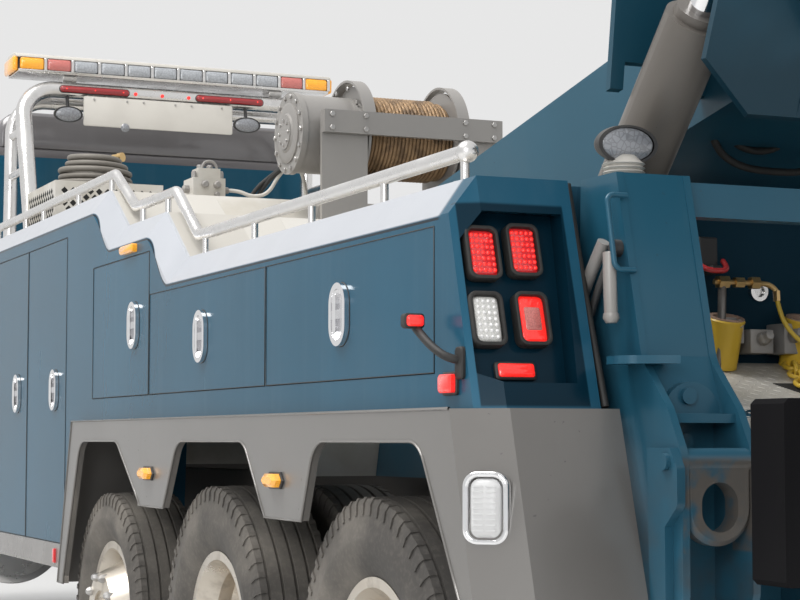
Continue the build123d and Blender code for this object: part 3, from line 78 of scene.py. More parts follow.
def at(x, behind, z):
    """Point given by its distance behind the rear axle."""
    return Vector((x, REAR + behind, z))


def linked(name, data):
    """New object in the scene."""
    obj = bpy.data.objects.new(name, data)
    bpy.context.scene.collection.objects.link(obj)
    return obj


print("frame:", len(nodes), "nodes, rear axle at y", round(REAR, 4))

# %% [markdown]
# The camera stands low beside the truck's left rear wheel, as the photographer did. Its place and its focal
# length were fitted to the wheels, doors and fender lines. It is tilted up a little instead of shifted, so
# that other views stay centred.

# %% Camera
camera_data = bpy.data.cameras.new("camera")
camera_data.lens = 88.888
camera_data.sensor_width = 36.0
camera_data.clip_end = 200.0
camera = linked("camera", camera_data)
camera.location = at(3.3076, 5.0258, 1.204)
turn, tilt = math.radians(156.618), math.radians(4.053)
aim = Vector((-math.sin(turn) * math.cos(tilt), math.cos(turn) * math.cos(tilt), math.sin(tilt)))
camera.rotation_euler = aim.to_track_quat("-Z", "Y").to_euler()
bpy.context.scene.camera = camera
bpy.context.scene.view_settings.view_transform = "Standard"
print("camera at", [round(v, 3) for v in camera.location])

# %% [markdown]
# Node maths reads best as ordinary expressions. A small class wraps a node's output, and each operator adds
# the Math node that it stands for. Materials, the world and Geometry Nodes all use it.

# %% Expressions on sockets
MIX_FIRST, MIX_SECOND, MIX_RESULT = 6, 7, 2


def operator(operation, swapped=False):
    """Method that adds the Math node of one operation."""

    def method(self, *others):
        values = (*others, self) if swapped else (self, *others)
        return self.owner.add("ShaderNodeMath", {"operation": operation}, dict(enumerate(values)))

    return method


class Term:
    """One output socket that can be added, multiplied and compared."""

    def __init__(self, owner, socket):
        self.owner = owner
        self.socket = socket

    __add__ = __radd__ = operator("ADD")
    __sub__ = operator("SUBTRACT")
    __rsub__ = operator("SUBTRACT", swapped=True)
    __mul__ = __rmul__ = operator("MULTIPLY")
    __truediv__ = operator("DIVIDE")
    __rtruediv__ = operator("DIVIDE", swapped=True)
    __mod__ = operator("MODULO")
    absolute = operator("ABSOLUTE")
    floor = operator("FLOOR")
    lower = operator("MINIMUM")
    upper = operator("MAXIMUM")
    under = operator("LESS_THAN")
    over = operator("GREATER_THAN")

    def step(self, low, high):
        """0 below low, 1 above high, smooth between."""
        return self.owner.add("ShaderNodeMapRange", {"interpolation_type": "SMOOTHSTEP"},
                              {"Value": self, "From Min": low, "From Max": high})

    def band(self, low, high, rise, fall=None):
        """1 between low and high, 0 outside, with soft ends."""
        return self.step(low, low + rise) * (1.0 - self.step(high, high + (fall or rise)))


class Tree:
    """Node tree whose outputs are terms."""

    def __init__(self, tree):
        self.tree = tree

    def feed(self, socket, value):
        """Link a term to a socket, or set the socket's own value."""
        if isinstance(value, Term):
            self.tree.links.new(value.socket, socket)
        elif socket.type == "RGBA" and len(value) == 3:
            socket.default_value = (*value, 1)
        else:
            socket.default_value = value

    def add(self, kind, settings=None, values=None, output=0):
        """A node with its settings, then its inputs. Gives the wanted output as a term."""
        node = self.tree.nodes.new(kind)
        for key, value in (settings or {}).items():
            setattr(node, key, value)
        for key, value in (values or {}).items():
            self.feed(node.inputs[key], value)
        return node if output is None else Term(self, node.outputs[output])

    def split(self, vector):
        """The three numbers of a vector."""
        node = self.add("ShaderNodeSeparateXYZ", {}, {0: vector}, output=None)
        return [Term(self, socket) for socket in node.outputs]

    def seen(self):
        """1 for what the camera sees, by itself, in gloss or through glass."""
        rays = self.add("ShaderNodeLightPath", output=None).outputs
        straight, glossy, through = (
            Term(self, rays[kind]) for kind in ("Is Camera Ray", "Is Glossy Ray", "Is Transmission Ray"))
        return straight.upper(glossy).upper(through)


class Graph(Tree):
    """Node tree of one material, with its shader and its coordinates."""

    def __init__(self, name):
        self.material = bpy.data.materials.new(name)
        self.material.use_nodes = True
        super().__init__(self.material.node_tree)
        self.shader = self.tree.nodes["Principled BSDF"]
        self.place = self.add("ShaderNodeTexCoord", output="Object")
        self.x, self.y, self.z = self.split(self.place)

    def noise(self, scale, detail=3.0, stretch=(1, 1, 1)):
        """Soft random pattern, stretched along an axis by a small factor there."""
        place = self.add("ShaderNodeMapping", {}, {"Vector": self.place, "Scale": stretch})
        return self.add("ShaderNodeTexNoise", {}, {"Vector": place, "Scale": scale, "Detail": detail,
                                                   "Roughness": 0.55})

    def mix(self, factor, first, second):
        """Colour between two colours."""
        values = {0: factor, MIX_FIRST: first, MIX_SECOND: second}
        return self.add("ShaderNodeMix", {"data_type": "RGBA"}, values, output=MIX_RESULT)

    def up(self):
        """How far a surface faces upwards."""
        return self.split(self.add("ShaderNodeNewGeometry", output="Normal"))[2]

    def bump(self, height, strength, distance=0.002):
        """Small relief on the shader's normal."""
        values = {"Height": height, "Strength": strength, "Distance": distance}
        self.feed(self.shader.inputs["Normal"], self.add("ShaderNodeBump", {}, values))

    def finish(self, **values):
        """Set the shader's inputs by name, with _ for a space."""
        for key, value in values.items():
            self.feed(self.shader.inputs[key.replace("_", " ")], value)
        return self.material


print("expressions ready")

# %% [markdown]
# Road dust is what makes a working truck believable. Every paint gets the same recipe: cloudy patches, thin
# vertical streaks and a grey film that settles on surfaces facing up and low on the body. Dust is paler and
# rougher than paint, so one mask drives both colour and roughness.

# %% Painted finishes
DUST = (0.36, 0.34, 0.31)
ROOF_GREY = (0.13, 0.125, 0.13)


def dusty(g, film=0.25):
    """Mask of dust from 0 to 1."""
    clouds = g.noise(1.7, 4).step(0.35, 0.8)
    streaks = g.noise(9, 3, (1, 1, 0.07)).step(0.5, 0.78)
    foot = 1.0 - g.z.step(0.4, 1.7)
    return (clouds * 0.35 + streaks * 0.25 + g.up().step(0.5, 1) * 0.35 + foot * 0.3 + film * 0.4).lower(0.9)


def eye_wear(g, shade):
    """Rust where hooks have rubbed the tow eyes, and dark brown patches low down, more towards the bottom."""
    eye = (g.y - REAR).band(0.935, 1.07, 0.01) * g.z.band(0.935, 1.15, 0.01, 0.02)
    eye = eye * g.x.absolute().band(0.655, 0.856, 0.004) * g.noise(9, 4).step(0.3, 0.5)
    rust = g.mix(g.noise(22, 3), (0.085, 0.075, 0.065), (0.13, 0.1, 0.075))
    foot = (1.0 - g.z.step(0.7, 1.25)) * g.noise(5, 4).step(0.4, 0.62) * 0.75
    return g.mix(foot, g.mix(eye * 0.85, shade, rust), (0.05, 0.042, 0.036))


def paint(name, colour, dirt, rough, metal=0.0, coat=0.5, dust=DUST, gloss=0.5, worn=False, shaded_head=False):
    """Sprayed paint with clear coat, slight orange peel, road film and chips along rubbed places."""
    g = Graph(name)
    mask = dusty(g) * dirt
    lighter = tuple(min(1, c * 1.35 + 0.01) for c in colour)
    tone = g.mix(g.noise(0.8, 2).step(0.3, 0.7) * 0.35, colour, lighter)
    chips = g.noise(55, 2).step(0.735, 0.75) * g.noise(2.6).step(0.5, 0.62) * 0.55
    shade = g.mix(chips, g.mix(mask, tone, dust), (0.03, 0.03, 0.032))
    if worn:
        shade = eye_wear(g, shade)
    # Painted shade: towards the rear the boom's head turns a deep dark petrol in patches.
    if shaded_head:
        head = (g.y - REAR).step(0.15, 0.75) * g.noise(1.3, 3).step(0.1, 0.5)
        shade = g.mix(head * 0.8, shade, (0.002, 0.018, 0.03))
    g.bump(g.noise(14, 2), 0.05, 0.0008)
    return g.finish(Specular_IOR_Level=gloss, Base_Color=shade, Metallic=metal, Coat_Roughness=0.12,
                    Roughness=(mask * 0.45 + rough + chips * 0.3).lower(0.9), Coat_Weight=(1.0 - mask) * coat)


def box_zones(g, behind, side, shade, rough):
    """Bare rim, painted shade in the lamp recess, dark joint, cream lid and grey sill of the tool boxes."""
    below_top = g.z - (1.865 + behind.step(-1.86, -2.14) * 0.195 + behind.step(-2.66, -2.94) * 0.175)
    length = behind.band(-5.64, 0.5, 0.01, 0.03)
    bare = below_top.step(-0.1, -0.094) * side.step(0.9, 0.905) * length
    shade = g.mix(bare, shade, g.mix(g.noise(5) * 0.5, (0.5, 0.52, 0.56), (0.62, 0.64, 0.68)))
    # Painted shade: the tail-lamp recess turns a near-black petrol, a shaded copy of the body colour.
    recess_shade = behind.step(0.545, 0.555) * g.z.band(1.28, 1.79, 0.01) * side.band(0.95, 1.232, 0.005, 0.004)
    shade = g.mix(recess_shade * 0.93, shade, (0.001, 0.014, 0.026))
    joint = below_top.band(-0.107, -0.1, 0.001) * side.step(1.24, 1.245) * length
    shade = g.mix(joint * 0.85, shade, (0.01, 0.01, 0.012))
    lid = g.up().step(0.6, 0.7) * (1.0 - side.step(1.17, 1.175)) * g.z.step(1.8, 1.81)
    shade = g.mix(lid, shade, (0.56, 0.54, 0.5))
    sill = (1.0 - g.z.step(0.755, 0.758)) * side.step(1, 1.01) * (1.0 - behind.step(-3.2, -3.19))
    shade = g.mix(sill, shade, g.mix(g.noise(4, 3), (0.2, 0.19, 0.18), (0.34, 0.33, 0.32)))
    metallic = bare * 0.4 + lid * 0.25 + sill * 0.4 + 0.1
    return shade, (rough + bare * 0.1 + lid * 0.3).lower(0.9), metallic


def body_paint(name, chrome_beyond=None, grey_above=None, zones=False):
    """Petrol paint with a film of road dust. Latches, rims and the roof take other tones by their place."""
    g = Graph(name)
    mask = dusty(g, film=0.35) * 0.36
    behind, side = g.y - REAR, g.x.absolute()
    base = g.mix(g.noise(0.9, 2).step(0.3, 0.7) * 0.5, (0.004, 0.062, 0.11), (0.006, 0.093, 0.165))
    shade = g.mix(mask, base, (0.105, 0.165, 0.215))
    rough, metallic = (mask * 0.5 + 0.17).lower(0.9), 0.1
    if zones:
        shade, rough, metallic = box_zones(g, behind, side, shade, rough)
    if chrome_beyond:
        plated = side.step(chrome_beyond, chrome_beyond + 0.0005)
        shade = g.mix(plated, shade, (0.8, 0.8, 0.81))
        metallic = plated * 0.9 + 0.1
        rough = (1.0 - plated) * rough + plated * 0.1
    if grey_above:
        shade = g.mix(g.z.step(grey_above, grey_above + 0.003), shade, ROOF_GREY)
    g.bump(g.noise(3, 2), 0.05, 0.001)
    return g.finish(Base_Color=shade, Roughness=rough, Metallic=metallic, Coat_Weight=(1.0 - mask) * 0.04,
                    Coat_Roughness=0.08, Specular_IOR_Level=0.12)


petrol = body_paint("petrol_paint")
box_petrol = body_paint("petrol_boxes", zones=True)
door_petrol = body_paint("petrol_doors", chrome_beyond=1.2505)
cab_petrol = body_paint("petrol_cab", grey_above=2.853)
frame_petrol = paint("petrol_on_steelwork", (0.005, 0.068, 0.115), 0.4, 0.3, metal=0.1, coat=0.15,
                     dust=(0.085, 0.14, 0.175), gloss=0.3, worn=True)
# The boom's paint has painted shade at its head.
boom_petrol = paint("petrol_on_boom", (0.005, 0.066, 0.11), 0.4, 0.35, metal=0.1, coat=0.1,
                    dust=(0.1, 0.15, 0.18), gloss=0.25, shaded_head=True)
cab_door_petrol = body_paint("petrol_cab_doors", chrome_beyond=1.045)
# A near-black copy of the petrol paint, as painted shade for the deep corner between the rear columns.
recess_shade_paint = paint("dark_petrol_recess", (0.001, 0.022, 0.04), 0.2, 0.6, coat=0.0, dust=(0.02, 0.06, 0.09),
             gloss=0.1)
cylinder_grey = paint("cylinder_grey", (0.105, 0.095, 0.085), 0.4, 0.4, metal=0.2, coat=0.15,
                      dust=(0.2, 0.18, 0.155))
fender_grey = paint("fender_grey", (0.14, 0.133, 0.125), 0.34, 0.3, metal=0.35, coat=0.4,
                    dust=(0.24, 0.235, 0.225))
machine_grey = paint("machine_grey", (0.25, 0.24, 0.23), 0.5, 0.4, metal=0.25, coat=0.15)
black_paint = paint("black_paint", (0.004, 0.004, 0.005), 0.04, 0.75, coat=0.0, dust=(0.16, 0.15, 0.14),
                    gloss=0.04)
frame_black = paint("chassis_black", (0.02, 0.02, 0.021), 0.75, 0.55, coat=0.0, dust=(0.15, 0.13, 0.11))
yellow_paint = paint("yellow_paint", (0.62, 0.4, 0.02), 0.45, 0.4, coat=0.2, dust=(0.25, 0.19, 0.1))
rusty = paint("worn_rim", (0.3, 0.2, 0.15), 0.6, 0.6, coat=0.0, dust=(0.16, 0.1, 0.07))
red_paint = paint("red_paint", (0.45, 0.015, 0.02), 0.3, 0.35, coat=0.3, dust=(0.25, 0.12, 0.1))
print("paints ready")

# %% [markdown]
# Bare metals need almost no colour of their own. Their look comes from roughness: fingerprints and haze on
# chrome, long brush lines on aluminium, and brown grease in the corners of cast iron.

# %% Bare metals


def metal(name, colour, rough=0.2, haze=0.2, grain=0.0, soil=0.25, soil_colour=(0.13, 0.11, 0.09)):
    """Metal with hazy patches, brush grain and some soil."""
    g = Graph(name)
    patches = g.noise(6, 4).step(0.4, 0.75)
    dirt = g.noise(11, 4).step(0.5, 0.8) * soil
    lines = g.noise(30, 2, (1, 0.05, 1))
    g.bump(lines * grain + g.noise(150, 1) * 0.3, 0.08, 0.0006)
    return g.finish(Base_Color=g.mix(dirt, colour, soil_colour), Metallic=1.0 - dirt * 0.6,
                    Roughness=(patches * haze + rough + dirt * 0.35 + lines * grain * 0.12).lower(0.95))


def tread_plate():
    """Bare chequered plate with a cream film of dust between its bars."""
    g = Graph("tread_plate")
    dirt = g.noise(4, 5).step(0.35, 0.75)
    return g.finish(Base_Color=g.mix(dirt * 0.8, (0.62, 0.6, 0.56), (0.47, 0.44, 0.38)), Metallic=0.35,
                    Roughness=dirt * 0.2 + 0.42)


chrome = metal("chrome", (0.8, 0.8, 0.81), 0.06, 0.14, soil=0.18)
polished = metal("polished_tube", (0.74, 0.73, 0.72), grain=0.3, soil=0.16)
wheel_alloy = metal("wheel_alloy", (0.62, 0.57, 0.5), 0.25, 0.25, 0.4, 0.55, (0.2, 0.16, 0.12))
cast_iron = metal("cast_iron", (0.2, 0.19, 0.18), 0.5, soil=0.8)
brass = metal("brass", (0.62, 0.43, 0.2), 0.3, soil=0.35)
zinc = metal("zinc_bolts", (0.45, 0.44, 0.43), 0.35, soil=0.5)
plate_metal = tread_plate()
print("metals ready")

# %% [markdown]
# Rubber is nearly black when new and grey-brown once it has run. Lenses are clear plastic in front of a
# bright body: a strong colour, a smooth coat, and a little light of their own where the lamp is lit.

# %% Rubber, plastic, glass and lamps


def rubber(name, colour, film, tint, rough=0.75):
    """Rubber with a film of dust."""
    g = Graph(name)
    mask = g.noise(3, 4).step(0.3, 0.75) * film + g.noise(70, 2).step(0.45, 0.7) * 0.12
    g.bump(g.noise(120, 3), 0.25, 0.0012)
    return g.finish(Base_Color=g.mix(mask.lower(0.85), colour, tint), Roughness=mask * 0.15 + rough)


def plastic(name, colour, rough=0.5, film=0.2):
    """Moulded plastic with fine grain."""
    g = Graph(name)
    mask = g.noise(5, 3).step(0.4, 0.8) * film
    g.bump(g.noise(300, 2), 0.15, 0.0005)
    return g.finish(Base_Color=g.mix(mask, colour, DUST), Roughness=mask * 0.3 + rough)


def lens(name, colour, glow=0.0, cell=0.006, rough=0.12):
    """Lamp lens with the small prisms moulded into its inside."""
    g = Graph(name)
    cells = g.add("ShaderNodeTexVoronoi", {"feature": "DISTANCE_TO_EDGE"},
                  {"Vector": g.place, "Scale": 1.0 / cell}).step(0, 0.12)
    shade = g.mix(cells, tuple(c * 0.7 for c in colour), colour)
    g.bump(cells, 0.35, 0.001)
    return g.finish(Base_Color=shade, Roughness=rough, Coat_Weight=0.8, Coat_Roughness=0.05,
                    Emission_Color=shade, Emission_Strength=glow)


def window_glass():
    """Tinted pane with a light film."""
    g = Graph("window_glass")
    film = g.noise(2, 3).step(0.3, 0.9) * 0.12
    return g.finish(Base_Color=(0.05, 0.06, 0.065), Roughness=film + 0.03, Alpha=film + 0.62,
                    Transmission_Weight=0.0, Coat_Weight=1.0)


tyre_rubber = rubber("tyre_rubber", (0.05, 0.046, 0.042), 0.7, (0.21, 0.19, 0.165))
seal_rubber = rubber("seal_rubber", (0.012, 0.012, 0.012), 0.3, (0.06, 0.056, 0.05), 0.6)
hose_rubber = rubber("hose_rubber", (0.13, 0.12, 0.105), 0.5, (0.24, 0.22, 0.19), 0.5)
yellow_hose = rubber("yellow_hose", (0.55, 0.38, 0.03), 0.3, (0.3, 0.22, 0.1), 0.5)
trim_black = plastic("black_plastic", (0.02, 0.02, 0.021))
seat_cloth = plastic("seat_vinyl", (0.05, 0.05, 0.055), 0.65)
pale_board = plastic("pale_board", (0.52, 0.5, 0.46), 0.45, 0.35)
glass = window_glass()
red_led = lens("red_led", (0.85, 0.02, 0.015), 0.9, 0.008)
red_lens = lens("red_lens", (0.62, 0.02, 0.025), 0.25)
dark_red_lens = lens("dark_red_lens", (0.3, 0.008, 0.012), 0.05)
clear_lens = lens("clear_lens", (0.72, 0.71, 0.68))
strobe_white = plastic("strobe_lens_white", (0.6, 0.6, 0.6), 0.3, 0.05)
white_lens = lens("white_lens", (0.86, 0.85, 0.84), 0.12, 0.008)
amber_lens = lens("amber_lens", (0.85, 0.36, 0.02), 0.35)
bar_clear = lens("bar_clear_lens", (0.4, 0.42, 0.45), cell=0.014)
lamp_glass = lens("lamp_glass", (0.24, 0.25, 0.27), cell=0.016, rough=0.2)
pink_lens = lens("pink_lens", (0.55, 0.16, 0.14), 0.1)
# Near-black matt sheet for the tray holes, the floor slot and the latch bowls: painted shade in openings.
dark = plastic("dark_holes", (0.008, 0.008, 0.008), 0.9, 0.05)
print("rubber, plastic and lenses ready")

# %% [markdown]
# Each CAD node is the real panel, casting or bar, so it keeps its shape and only gets its finish here. One
# table says which finish every node wears, and a second one goes by the start of a node's name.

# %% Finishes of the CAD nodes
finishes = {
    "chassis_frame": frame_black, "axles": cast_iron, "engine_block": cast_iron, "cab_shell": cab_petrol,
    "cab_interior": seat_cloth, "cab_glass": glass, "hood_shell": petrol, "grille": chrome,
    "front_bumper": chrome, "tool_boxes": box_petrol, "rear_fenders": fender_grey, "deck": plate_metal,
    "pylon_and_rails": polished, "winch": machine_grey, "rear_frame": frame_petrol,
    "boom_main": boom_petrol, "boom_extension": boom_petrol, "lift_barrels": cylinder_grey,
    "lift_rods": chrome, "underlift_arm": frame_petrol, "underlift_stinger": frame_petrol,
    "crossbar": black_paint, "side_tanks": polished,
}
starts = {
    "knuckle": cast_iron, "cab_door_glass": glass, "cab_door": cab_door_petrol, "door": door_petrol,
    "rim": wheel_alloy, "tyre": tyre_rubber, "winch_rope": zinc, "hose": hose_rubber, "lamps": trim_black,
}
for node, obj in nodes.items():
    finish = finishes.get(node) or next(f for start, f in starts.items() if node.startswith(start))
    obj.data.materials.clear()
    obj.data.materials.append(finish)
print("finished", len(nodes), "nodes")

# %% [markdown]
# The real truck is welded and bolted from plates, turned shapes and bent tubes, so a few helpers make them
# all. Every piece is one plain mesh at the origin with its place in its vertices, as a CAD node's is. A
# matrix gives that place: one helper aims a shape's own Z along a direction, and another lays a flat piece
# on a face with its top upwards.

# %% Places and meshes
IDENTITY = Matrix.Identity(4)
TINY = 1e-6


def around(steps):
    """Angles of a full turn in equal steps."""
    return [2.0 * math.pi * k / steps for k in range(steps)]


def evaluated(obj):
    """Plain mesh of an object as its modifiers or its curve make it."""
    graph = bpy.context.evaluated_depsgraph_get()
    return bpy.data.meshes.new_from_object(obj.evaluated_get(graph), depsgraph=graph)


def moved(mesh, place):
    """The mesh, put in place."""
    mesh.transform(place)
    return mesh


def shift(x, y, z):
    """Place that is moved but not turned."""
    return Matrix.Translation((x, y, z))


def scaled(x, y, z):
    """Place that stretches along its own axes."""
    return Matrix.Diagonal((x, y, z, 1))


def stand(origin, direction, spin=0.0):
    """Place whose own Z points along a direction."""
    turned = Vector(direction).to_track_quat("Z", "Y").to_matrix().to_4x4()
    return Matrix.Translation(origin) @ turned @ Matrix.Rotation(spin, 4, "Z")


def facing(origin, normal, up=UP):
    """Place whose local Z is a face's normal and whose local Y points up it."""
    out = Vector(normal).normalized()
    across = Vector(up).cross(out).normalized()
    turned = Matrix((across, out.cross(across), out)).transposed().to_4x4()
    return Matrix.Translation(origin) @ turned


def on_side(behind, z, face=SIDE_FACE):
    """Place on a flat side of the truck, facing outwards."""
    return facing(at(face, behind, z), LEFT)


def joined(parts):
    """One mesh from several."""
    whole = bmesh.new()
    for part in parts:
        whole.from_mesh(part)
        if part.users == 0:
            bpy.data.meshes.remove(part)
    mesh = bpy.data.meshes.new("joined")
    whole.to_mesh(mesh)
    whole.free()
    return mesh


def faces(vertices, polygons):
    """Mesh from points and faces, with its normals outwards."""
    build = bmesh.new()
    points = [build.verts.new(v) for v in vertices]
    for polygon in polygons:
        build.faces.new([points[i] for i in polygon])
    bmesh.ops.remove_doubles(build, verts=build.verts, dist=TINY)
    bmesh.ops.recalc_face_normals(build, faces=build.faces)
    mesh = bpy.data.meshes.new("mesh")
    build.to_mesh(mesh)
    build.free()
    return mesh


print("left side at x", round(on_side(0, 0).translation.x, 4))

# %% [markdown]
# Lamp frames, brackets and boxes are sheets with a cut outline. They could be cut from blocks, which leaves
# uneven faces. Here an outline is lifted through two or more levels instead. A last level that is drawn in
# a little gives the narrow chamfer that catches the light.

# %% Plates and blocks


def loft(loops, place=IDENTITY, wrap=False):
    """Shape through rings of as many points. Its ends are flat, or its last ring joins its first."""
    count = len(loops[0])
    last = (len(loops) - 1) * count
    polygons = [] if wrap else [tuple(range(count)), tuple(range(last, last + count))]
    for level in range(len(loops) if wrap else len(loops) - 1):
        here, there = level * count, (level + 1) % len(loops) * count
        polygons += [(here + i, here + (i + 1) % count, there + (i + 1) % count, there + i)
                     for i in range(count)]
    return moved(faces([point for loop in loops for point in loop], polygons), place)


def slab(outline, low, high, axis="x", place=IDENTITY):
    """Plate from an outline in the two other axes, between two distances along its axis."""
    index = "xyz".index(axis)
    loops = [[(*point[:index], level, *point[index:]) for point in outline] for level in (low, high)]
    return loft(loops, place)


def cuboid(lo, hi):
    """Box between two corners."""
    return slab([(lo[0], lo[1]), (hi[0], lo[1]), (hi[0], hi[1]), (lo[0], hi[1])], lo[2], hi[2], "z")


def oval(width, height, steps=40):
    """Outline of a slot shape round the origin."""
    radius = min(width, height) / 2.0
    dx, dy = width / 2.0 - radius, height / 2.0 - radius
    turns = [a + math.pi / steps for a in around(steps)]
    return [(math.cos(a) * radius + math.copysign(dx, math.cos(a)),
             math.sin(a) * radius + math.copysign(dy, math.sin(a))) for a in turns]


def soft_box(width, height, radius, steps=4):
    """Outline of a rectangle with round corners, round the origin."""
    points = []
    for quarter, (sx, sy) in enumerate(((1, 1), (-1, 1), (-1, -1), (1, -1))):
        for k in range(steps + 1):
            a = math.pi / 2.0 * (quarter + k / steps)
            points.append((sx * (width / 2.0 - radius) + radius * math.cos(a),
                           sy * (height / 2.0 - radius) + radius * math.sin(a)))
    return points


def plate(outline, thick, place, inset=0.003, lift=0.0):
    """Plate with a chamfered front edge, from an outline or from a soft box's four numbers."""
    if not isinstance(outline[0], tuple):
        outline = soft_box(*outline)
    inner = [[value - math.copysign(inset, value) if abs(value) > inset else value for value in point]
             for point in outline]
    levels = (outline, lift), (outline, lift + thick - inset), (inner, lift + thick)
    return loft([[(*point, level) for point in line] for line, level in levels], place)


def frame_ring(outer, inner, thick, place):
    """Flat ring between two soft boxes, as a lens's rubber frame is."""
    levels = ((outer, 0), (outer, thick), (inner, thick), (inner, 0))
    return loft([[(*point, level) for point in soft_box(*size)] for size, level in levels], place, wrap=True)


print("an oval has", len(oval(0.2, 0.1)), "points and a soft box", len(soft_box(0.2, 0.1, 0.02)))

# %% [markdown]
# Bolts, sockets and knobs are turned on a lathe, so a profile of heights and radii goes round one axis.
# Hoses, rails and pipes are bent tubes. A round curve through a few points bends as they do, and it is made
# a plain mesh at once.

# %% Turned shapes and tubes


def lathe(profile, place=IDENTITY, steps=48, closed=False):
    """Shape turned about its own Z from (height, radius) pairs, then put in place."""
    polygons = []
    count = len(profile)
    points = [(r * math.cos(a), r * math.sin(a), h) for a in around(steps) for h, r in profile]
    for k in range(steps):
        here, there = k * count, (k + 1) % steps * count
        for i in range(count if closed else count - 1):
            j = (i + 1) % count
            corners = (here + i, here + j, there + j, there + i)
            if profile[i][1] < TINY:
                corners = corners[:3]
            elif profile[j][1] < TINY:
                corners = (*corners[:2], corners[3])
            polygons.append(corners)
    return moved(faces(points, polygons), place)


def turned_solid(radius, length, place=IDENTITY, steps=6):
    """Plain round or six-sided bar."""
    return lathe([(0, 0), (0, radius), (length, radius), (length, 0)], place, steps)


def curve_through(name, points, radius, detail, smoothness, soft=True, caps=True):
    """Round curve through points, with soft corners."""
    curve = bpy.data.curves.new(name, "CURVE")
    curve.dimensions = "3D"
    curve.bevel_depth = radius
    curve.bevel_resolution = detail
    curve.use_fill_caps = caps
    spline = curve.splines.new("NURBS" if soft else "POLY")
    spline.points.add(len(points) - 1)
    for knot, point in zip(spline.points, points):
        knot.co = (*point, 1)
    if soft:
        spline.order_u = 3
        spline.use_endpoint_u = True
        spline.resolution_u = smoothness
    return linked(name, curve)


def pipe(points, radius, sides=12, soft=True, caps=True):
    """Tube through points as a plain mesh."""
    holder = curve_through("pipe", points, radius, max(1, sides // 4), 6, soft, caps)
    curve, mesh = holder.data, evaluated(holder)
    bpy.data.objects.remove(holder)
    bpy.data.curves.remove(curve)
    return mesh


print("turned shapes and tubes ready")

# %% [markdown]
# Every mesh becomes a piece in the same way. It gets its finish, its edges may be rounded, and their angle
# says which of them stay sharp. Then it rides on one body. Most fittings come in pairs, so one mesh is
# mirrored for the right side, and its normals are turned outwards again.

# %% Pieces that ride


def settle(name, mesh, material, body="truck", slot=None, bevel=0.0, smooth=None):
    """Link a mesh as a piece, round its edges and make it ride."""
    obj = linked(name, mesh)
    mesh.materials.clear()
    mesh.materials.append(material)
    if bevel:
        modifier = obj.modifiers.new("edges", "BEVEL")
        modifier.width = bevel
        modifier.segments = 2
        modifier.limit_method = "ANGLE"
        mesh = evaluated(obj)
        obj.modifiers.clear()
        obj.data = mesh
    if smooth:
        mesh.shade_smooth()
        mesh.set_sharp_from_angle(angle=math.radians(smooth))
    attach(obj, body)
    return obj


def both(name, mesh, material, **more):
    """A piece for the left side and its mirror image for the right."""
    copy = moved(mesh.copy(), Matrix.Scale(-1, 4, (1, 0, 0)))
    copy.flip_normals()
    settle(name + "_right", copy, material, **more)
    settle(name + "_left", mesh, material, **more)


def tube(name, points, radius, material, body="truck"):
    """Bent tube as a piece, through points given from the rear axle."""
    settle(name, pipe([at(*p) for p in points], radius), material, body=body, smooth=60)


print("pieces ready")

# %% [markdown]
# The hose in the tray is a real loose coil. A spiral that climbs from the tray's floor is the whole route, so
# a loop places its points, with a little seeded unevenness as a thrown-in hose has. Its upper turns are
# smaller than the lower ones.

# %% Hose in the tray
HOSE = 0.03
TURNS = 11
STEPS_PER_TURN = 14
RISE_PER_TURN = 0.0335
NARROWS_FROM = 6.0
coil_lo, coil_hi = box_of("hose_coil")
coil = (coil_lo + coil_hi) / 2.0
uneven = random.Random(4)
route = [Vector((coil.x - 0.19, coil.y + dy, coil_lo.z + 0.016)) for dy in (-0.02, 0)]
for k in range(TURNS * STEPS_PER_TURN):
    level = k / STEPS_PER_TURN
    a = math.pi - 2.0 * math.pi * level
    reach = 0.2 + 0.01 * math.sin(level * 2.4) + uneven.uniform(-0.004, 0.004)
    reach -= 0.011 * max(0, level - NARROWS_FROM) ** 1.3
    route.append(Vector((coil.x + reach * math.cos(a), coil.y + reach * math.sin(a),
                         coil_lo.z + 0.018 + level * RISE_PER_TURN)))
hose = curve_through("tray_hose", route, HOSE / 2.0, 3, 4)
hose.data.materials.append(hose_rubber)
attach(hose, "truck")
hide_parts("hose_coil")
coupling_line = [(0, 0), (0, 0.02), (0.03, 0.02), (0.034, 0.024), (0.06, 0.024), (0.06, 0)]
coupling = settle("hose_coupling", lathe(coupling_line, stand(route[-1], route[-1] - route[-2])), brass,
                  slot="hose_rubber", smooth=40)

# %% [markdown]
# Bolts, lamp diodes, plate bars and wheel nuts repeat by the dozen. One small shape is modelled, and a
# Geometry Nodes tree sets copies of it on a ring or on a grid. The tree has named inputs for count and pitch,
# so the same tree serves every flange and every lens.

# %% Geometry Nodes that repeat a shape


